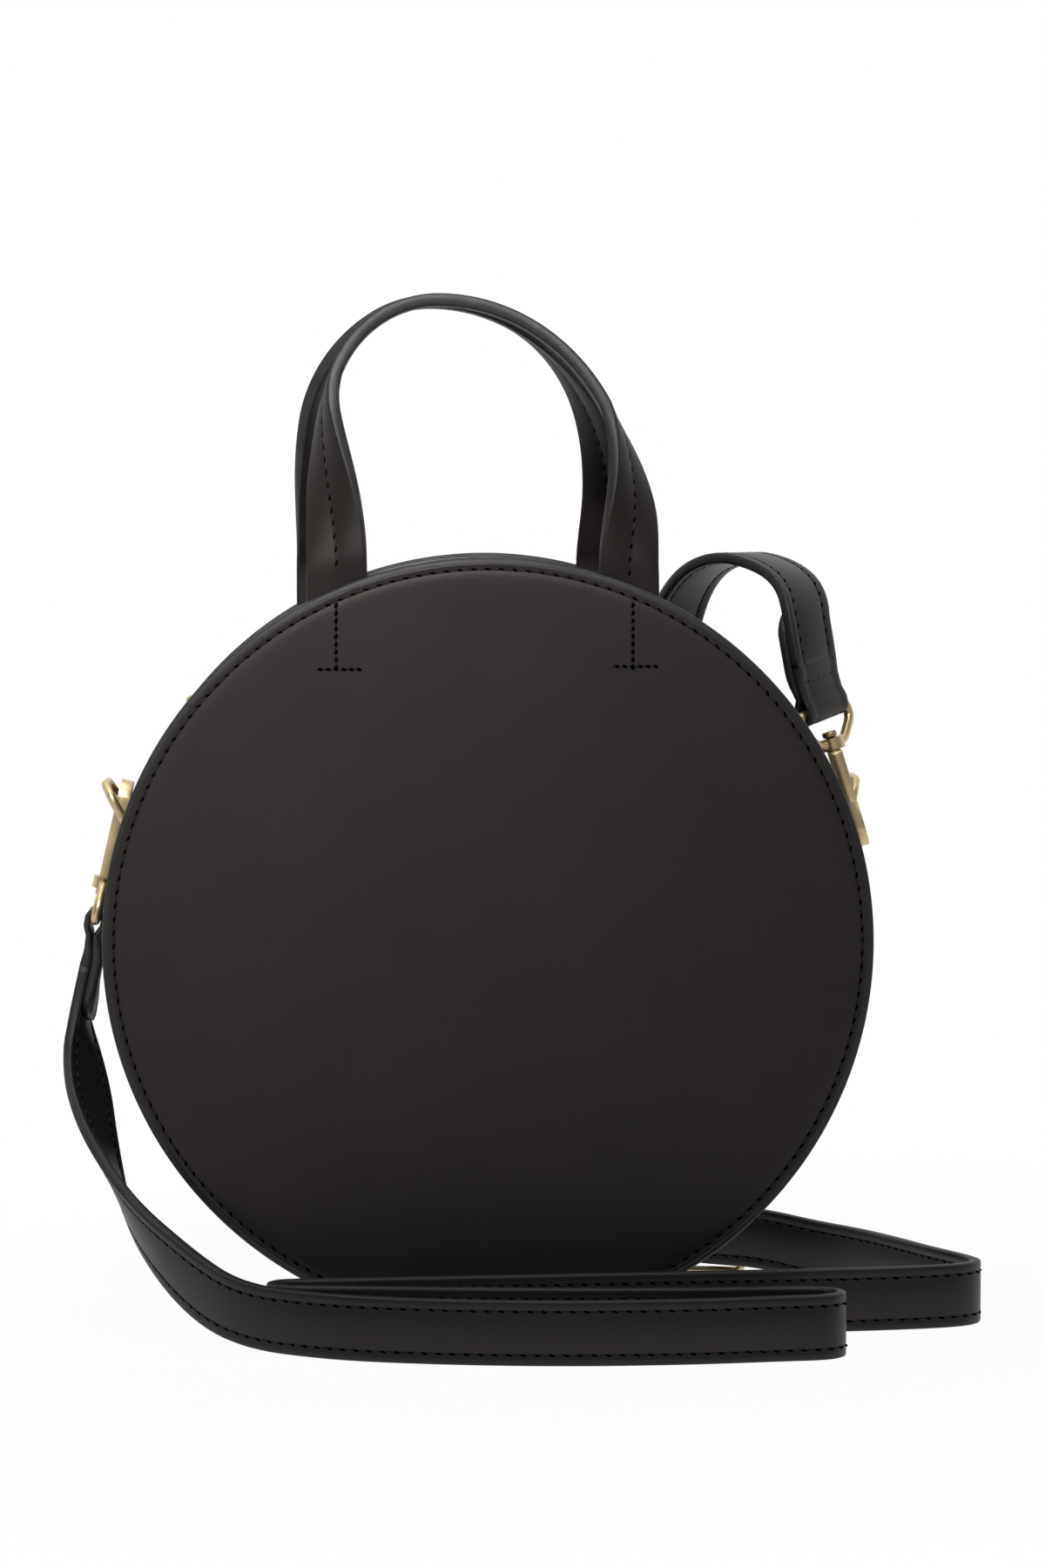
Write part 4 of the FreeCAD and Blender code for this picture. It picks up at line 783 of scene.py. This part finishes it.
def tab(label, mirror):
    """One side tab: up the gusset, round the bar and down again, with its sewing."""
    bar = polar(BAR_DISTANCE, TAB_ANGLE, 0.0)
    points = [polar(TAB_INNER, angle, 0.0) for angle in TAB_BACK_ANGLES]
    for step in range(13):
        turn = math.radians(TAB_ANGLE + 180.0 - FOLD_STEP * step)
        points.append(bar + Vector((math.cos(turn), 0, math.sin(turn))) * TAB_FOLD)
    lower = []
    for step in range(1, 20):
        top = BAR_DISTANCE + TAB_FOLD
        lower.append(polar(top + (TAB_OUTER - top) * ease(step / TAB_FALL), TAB_ANGLE - step, 0.0))
    points += lower
    flip = Vector((mirror, 1, 1))
    points = [point * flip for point in points]
    lower = [point * flip for point in lower]
    outline, edges = strip_outline(TAB_WIDTH, TAB_LAYER, [-TAB_STITCH, TAB_STITCH], TAB_DIP)
    name = f"{label}_tab_leather"
    stations = with_headings(points, Y_AXIS, [1.0] * len(points))
    mesh = loft(name, strip_rings(stations, outline), edge_columns=edges)
    new_piece(name, mesh, "bag", [f"{label}_side_tab"], [PANEL_LEATHER, EDGE])
    outs = [(point - Vector((0, 0, CENTRE_HEIGHT))).normalized() for point in lower]
    seats = [point + out * TAB_STITCH_LIFT for point, out in zip(lower, outs)]
    for row, depth in (("front", -TAB_STITCH), ("back", TAB_STITCH)):
        run = [seat + Y_AXIS * depth for seat in seats][4:-1]
        sewing_row(f"{label}_tab_stitch_{row}", run, outs[4:-1])
    for row, place in (("top", 5), ("foot", -2)):
        run = [seats[place] + Y_AXIS * depth for depth in (-TAB_STITCH, TAB_STITCH)]
        sewing_row(f"{label}_tab_stitch_{row}", run, [outs[place]] * 2, **CROSS_STITCH)


tab("right", 1)
tab("left", -1)

# Strap ends: the strap thins, turns round a ring's bar and is sewn to its own back

END_FOLD, LAYER = 2.5, 1.6
TAIL_SHARE, TAIL_LENGTH, TAIL_TAPER, TAIL_GAP = 1.8, 17.0, 8.0, 0.03
TAIL_TIP_THICKNESS, TAIL_TIP_WIDTH = 0.45, 0.05
END_DIP, END_DIP_PLACE = 0.14, 6.0
END_ROW_ALONG, END_ROW_RISE, END_ROW_HALF = 9.4, 1.27, 6.6
END_STITCH = {"pitch": 2.9, "length": 1.6}

# The layer that the strap runs into: distance from the bar, rise, shares of thickness and width
OUTER_LAYER = [(15.5, 0.0, 1.7, 0.96), (14.2, 0.0, 1.98, 0.995), (13.0, 0.0, 2.0, 1.0),
               (11.5, 0.02, 1.85, 1.0), (9.0, 0.14, 1.5, 1.0), (6.5, 0.68, 1.15, 1.0),
               (4.6, 1.02, 1.04, 1.0), (3.2, 1.75, 1.0, 1.0), (2.0, 2.3, 1.0, 1.0)]
# The layer that comes back from the bar: distance, drop and share of thickness
INNER_LAYER = [(2.0, 2.3, 1.0), (3.2, 1.75, 1.0), (4.6, 1.15, 1.1), (6.5, 1.62, 1.4), (9.0, 2.45, 1.65),
               (11.5, 2.92, 1.8)]


def strap_end(label, bar, axis, across, stations):
    """The fold and the tail of one strap end, and the stitches across it."""
    across = across.normalized()
    up = axis.cross(across)
    points, shares, widths, sides = [], [], [], []

    def put(point, share, side=across, width=1.0):
        points.append(point)
        shares.append(share)
        widths.append(width)
        sides.append(side)

    for along, rise, share, width in OUTER_LAYER:
        put(bar + axis * along + up * rise, share, width=width)
    for step in range(1, 12):
        turn = math.radians(90.0 + FOLD_STEP * step)
        put(bar + up * (END_FOLD * math.sin(turn)) + axis * (END_FOLD * math.cos(turn)), 1.0)
    for along, drop, share in INNER_LAYER:
        put(bar + axis * along - up * drop, share)
    gone = 0.0
    for row in range(len(stations) - 1):
        point, heading, side, share = stations[row]
        step = (stations[row + 1][0] - point).length
        heading, side, face = frame_axes(heading, side)
        if gone <= TAIL_LENGTH:
            taper = min(1.0, (TAIL_LENGTH - gone) / TAIL_TAPER)
            width = math.sqrt(max(TAIL_TIP_WIDTH, 1 - (1 - taper) ** 2))
            share = TAIL_SHARE * (TAIL_TIP_THICKNESS + (1 - TAIL_TIP_THICKNESS) * taper)
            put(point - face * (STRAP_THICKNESS / 2 + LAYER * share / 2 + TAIL_GAP), share, side, width)
        gone += step
    outline, edges = strip_outline(STRAP_WIDTH, LAYER, [-END_DIP_PLACE, END_DIP_PLACE], END_DIP)
    name = f"{label}_end_leather"
    rings = strip_rings(with_headings(points, sides, shares, widths), outline)
    mesh = loft(name, rings, edge_columns=edges)
    piece = new_piece(name, mesh, "bag", [f"{label}_strap_end"], [STRAP_LEATHER, EDGE])
    middle = bar + axis * END_ROW_ALONG + up * END_ROW_RISE
    run = [middle + across * place for place in (-END_ROW_HALF, END_ROW_HALF)]
    row = sewing_row(f"{label}_end_stitches", run, [up] * 2, slot="strap_leather", **END_STITCH)
    return [piece, row]


LEFT_BAR = LEFT_STRAP_START - LEFT_AXIS * END_LENGTH
left_end = strap_end("left", LEFT_BAR, LEFT_AXIS, Vector((0, -1, 0)), long_stations)
right_end = strap_end("right", RIGHT_BAR, RIGHT_END_AXIS, RIGHT_BAR_SIDE, short_stations)

# Keeper: a narrow loop round both layers of the strap behind the buckle

KEEPER_HALF, KEEPER_LOW, KEEPER_HIGH, KEEPER_CORNER = 9.9, -4.0, 7.8, 1.6
KEEPER_LENGTH, KEEPER_WALL, KEEPER_BACK, KEEPER_DIP = 5.0, 1.2, 12.0, 0.05


def keeper_loop():
    """Points round the loop, across and out from the buckle's heel."""
    corners = [(KEEPER_HALF, KEEPER_HIGH, 0.0), (-KEEPER_HALF, KEEPER_HIGH, 90.0),
               (-KEEPER_HALF, KEEPER_LOW, 180.0), (KEEPER_HALF, KEEPER_LOW, 270.0)]
    loop = []
    for across, out, start in corners:
        centre_across = across - math.copysign(KEEPER_CORNER, across)
        centre_out = out - KEEPER_CORNER if out > 0 else out + KEEPER_CORNER
        for step in range(6):
            turn = math.radians(start + 18.0 * step)
            loop.append((centre_across + KEEPER_CORNER * math.cos(turn),
                         centre_out + KEEPER_CORNER * math.sin(turn)))
    return loop


keeper_middle = BUCKLE - BUCKLE_AHEAD * KEEPER_BACK
loop = [keeper_middle + Z_AXIS * across + BUCKLE_OUT * out for across, out in keeper_loop()]
keeper_outline, keeper_edges = strip_outline(KEEPER_LENGTH, KEEPER_WALL, [0.0], KEEPER_DIP)
keeper_stations = []
for row, point in enumerate(loop):
    keeper_stations.append((point, loop[(row + 1) % len(loop)] - loop[row - 1], BUCKLE_AHEAD, 1.0))
keeper_rings = strip_rings(keeper_stations, keeper_outline)
keeper_mesh = loft("keeper_leather", keeper_rings, looped=True, edge_columns=keeper_edges)
keeper = new_piece("keeper_leather", keeper_mesh, "bag", ["strap_keeper"],
                   [STRAP_LEATHER, EDGE])

# Metal, linings and the buckle's fold: the CAD shapes with rounded edges

# Each clasp: where its hook starts, the direction of its length and the side that its gate faces
HOOKS = {"left": (Vector((-104.6611, 11.3, 153.9188)), LEFT_AXIS, 1),
         "right": (Vector((109.0678, -11.3, 135.9062)), RIGHT_AXIS, -1)}
HEAD_START, HEAD_SHARE = 32.4, 0.7
PULL_ANGLE, PULL_RADIUS = 141.63, 109.2
GATE_LOW, GATE_HIGH = 13.3, 28.7
GATE_OUTLINE = [(-1.8, 5.3), (-1.8, 5.85), (-1.45, 6.12), (1.45, 6.12), (1.8, 5.85), (1.8, 5.3)]
GATE_SECTIONS = [(GATE_LOW, 0.9), (GATE_LOW + 0.35, 1.0), (GATE_HIGH - 0.5, 1.0), (GATE_HIGH, 0.86)]
SAME_POINT, FLAT_ANGLE, SHARP_ANGLE = 2e-6, 1.0, 38.0


def eased(node, body, material, round_size, reshape=None):
    """A copy of a CAD node's mesh with its edges rounded, each point first put through reshape."""
    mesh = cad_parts[node].data.copy()
    if reshape:
        for vertex in mesh.vertices:
            vertex.co = reshape(vertex.co / MM) * MM
    work = bmesh.new()
    work.from_mesh(mesh)
    bmesh.ops.remove_doubles(work, verts=work.verts, dist=SAME_POINT)
    bmesh.ops.dissolve_limit(work, angle_limit=math.radians(FLAT_ANGLE), verts=work.verts, edges=work.edges)
    work.to_mesh(mesh)
    work.free()
    mesh.materials.clear()
    mesh.polygons.foreach_set("use_smooth", [True] * len(mesh.polygons))
    mesh.polygons.foreach_set("material_index", [0] * len(mesh.polygons))
    piece = new_piece(f"{node}_finish", mesh, body, [node], [material])
    bevel = piece.modifiers.new("rounding", "BEVEL")
    bevel.width = round_size * MM
    bevel.segments = 2
    bevel.limit_method = "ANGLE"
    bevel.angle_limit = math.radians(SHARP_ANGLE)
    bevel.use_clamp_overlap = True
    bevel.harden_normals = True
    return piece


def rivet_head(origin, axis):
    """Draws in the part of a rivet above the ring's collar."""
    def reshape(point):
        along = (point - origin).dot(axis)
        if along < HEAD_START:
            return point
        middle = origin + axis * along
        return middle + (point - middle) * HEAD_SHARE
    return reshape


def pull_curve(point):
    """Curls the straight zip pull so that it lies along the round of the bag."""
    turn = math.radians(PULL_ANGLE)
    outward = Vector((math.cos(turn), 0, math.sin(turn)))
    along = Vector((-math.sin(turn), 0, math.cos(turn)))
    flat = point - Vector((0, 0, CENTRE_HEIGHT))
    return polar(flat.dot(outward), PULL_ANGLE + math.degrees(flat.dot(along) / PULL_RADIUS), point.y)


def gate_face(side, origin, axis, facing):
    """The smooth front of a clasp's gate."""
    across = axis.cross(Y_AXIS)
    rings = []
    for along, size in GATE_SECTIONS:
        middle = origin + axis * along
        narrowed = [across * (width * size) + Y_AXIS * (facing * depth) for width, depth in GATE_OUTLINE]
        rings.append([middle + place for place in narrowed])
    name = f"{side}_gate_face"
    new_piece(name, loft(name, rings), f"{side}_trigger", materials=[BRASS])


for side, (origin, axis, facing) in HOOKS.items():
    eased(f"{side}_hook_body", f"{side}_hook", BRASS, 0.45)
    eased(f"{side}_trigger", f"{side}_trigger", BRASS, 0.4)
    eased(f"{side}_swivel_rivet", f"{side}_hook", DARK_BRASS, 0.35, rivet_head(origin, axis))
    eased(f"{side}_trigger_pin", f"{side}_hook", DARK_BRASS, 0.15)
    gate_face(side, origin, axis, facing)
eased("zip_slider", "zip_slider", BRASS, 0.2)
eased("zip_pull", "zip_pull", BRASS, 0.2, pull_curve)
eased("zip_stops", "bag", BRASS, 0.2)
for name in ("front_lining", "back_lining", "gusset_lining", "inner_pocket"):
    eased(name, "bag", LINING, 0.15)
buckle_end = eased("buckle_strap_end", "bag", STRAP_LEATHER, 0.4)

# CAD nodes that keep their shape take a finish of their own

FINISHES = {
    BRASS: ("left_d_ring", "right_d_ring", "left_swivel_ring", "right_swivel_ring", "buckle_frame",
            "buckle_prong", "front_zip_teeth", "back_zip_teeth"),
    BOARD: ("front_board", "back_board"),
}
for material, names in FINISHES.items():
    for name in names:
        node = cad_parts[name]
        node.data.materials.clear()
        node.data.materials.append(material)

# Light and floor: white paper behind and under the bag, a dimmer room on the camera's side

ROOM_SHADE, FILL = 0.12, 0.09
RANGE_SOCKETS = ("From Min", "From Max", "To Min", "To Max")
ROOM_FADE = (-0.5, 0.3, ROOM_SHADE, 1.0)
FLOOR_HALF = 6.0
FLOOR_FADE = (0.12, 0.42, 0.96, 1.0)
FLOOR_LIT, FLOOR_SEEN = (0.30, 0.32), (0.90, 0.92)
FACTOR_SIDES = (6, 7)
MIXED_COLOUR = 2

floor_mesh = bpy.data.meshes.new("floor")
corners = [(-FLOOR_HALF, -FLOOR_HALF, 0), (FLOOR_HALF, -FLOOR_HALF, 0), (FLOOR_HALF, FLOOR_HALF, 0),
           (-FLOOR_HALF, FLOOR_HALF, 0)]
floor_mesh.from_pydata(corners, [], [(0, 1, 2, 3)])
floor = bpy.data.objects.new("floor", floor_mesh)
scene.collection.objects.link(floor)
paper = Nodes("studio_paper")
seen_floor = seen_rays(paper.tree)
tone = paper.add("ShaderNodeMix", data_type="RGBA")
paper.link(seen_floor, tone.inputs["Factor"])
for socket, (low, high) in zip(FACTOR_SIDES, (FLOOR_LIT, FLOOR_SEEN)):
    shade = paper.ramp(paper.noise(3.0, 2.0), [(0.3, (low,) * 3), (0.7, (high,) * 3)])
    paper.link(shade, tone.inputs[socket])
paper.link(tone.outputs[MIXED_COLOUR], paper.shader.inputs["Base Color"])
paper.set(Roughness=0.95, Specular_IOR_Level=0.0)
away = paper.add("ShaderNodeVectorMath", operation="LENGTH")
paper.link(paper.coords, away.inputs[0])
fade = paper.add("ShaderNodeMapRange", interpolation_type="SMOOTHSTEP")
for socket, value in zip(RANGE_SOCKETS, FLOOR_FADE):
    fade.inputs[socket].default_value = value
paper.link(away.outputs["Value"], fade.inputs["Value"])
whiteness = paper.add("ShaderNodeMath", operation="MULTIPLY")
paper.link(seen_floor, whiteness.inputs[0])
paper.link(fade.outputs["Result"], whiteness.inputs[1])
glow = paper.add("ShaderNodeEmission")
blend_floor = paper.add("ShaderNodeMixShader")
paper.link(whiteness.outputs["Value"], blend_floor.inputs["Fac"])
paper.link(paper.shader.outputs["BSDF"], blend_floor.inputs[1])
paper.link(glow.outputs["Emission"], blend_floor.inputs[2])
paper.link(blend_floor.outputs["Shader"], paper.tree.nodes["Material Output"].inputs["Surface"])
floor_mesh.materials.append(paper.material)


def softbox(name, place, aim, width, height, power, spread=180.0):
    """An area lamp at a place, turned towards a point; metres, watts and degrees."""
    light = bpy.data.lights.new(name, "AREA")
    light.shape = "RECTANGLE"
    light.size = width
    light.size_y = height
    light.energy = power
    light.spread = math.radians(spread)
    holder = bpy.data.objects.new(name, light)
    holder.location = place
    holder.rotation_euler = (Vector(aim) - Vector(place)).to_track_quat("-Z", "Y").to_euler()
    scene.collection.objects.link(holder)


softbox("overhead", (-0.1, -0.15, 1.5), (0, 0, 0.1), width=1.6, height=1.2, power=10.0)
softbox("front_left", (-0.25, -1.5, 1.35), (-0.2, 0, 0.46), width=0.4, height=0.4, power=2.5, spread=21.0)
softbox("front_right", (1.3, -1.3, 0.9), (0, 0, 0.11), width=0.6, height=0.9, power=1.0)
world = bpy.data.worlds.new("studio")
scene.world = world
world.use_nodes = True
sky = world.node_tree
heading = sky.nodes.new("ShaderNodeTexCoord")
parts = sky.nodes.new("ShaderNodeSeparateXYZ")
sky.links.new(heading.outputs["Generated"], parts.inputs["Vector"])
backdrop = sky.nodes.new("ShaderNodeMapRange")
backdrop.interpolation_type = "SMOOTHSTEP"
for socket, value in zip(RANGE_SOCKETS, ROOM_FADE):
    backdrop.inputs[socket].default_value = value
sky.links.new(parts.outputs["Y"], backdrop.inputs["Value"])
seen = sky.nodes.new("ShaderNodeMixShader")
white = sky.nodes["Background"]
fill = sky.nodes.new("ShaderNodeBackground")
white.inputs["Color"].default_value = (1, 1, 1, 1)
sky.links.new(backdrop.outputs["Result"], white.inputs["Strength"])
fill.inputs["Color"].default_value = (1, 1, 1, 1)
fill.inputs["Strength"].default_value = FILL
sky.links.new(seen_rays(sky), seen.inputs["Fac"])
sky.links.new(fill.outputs["Background"], seen.inputs[1])
sky.links.new(white.outputs["Background"], seen.inputs[2])
sky.links.new(seen.outputs["Shader"], sky.nodes["World Output"].inputs["Surface"])
scene.view_settings.view_transform = "Standard"
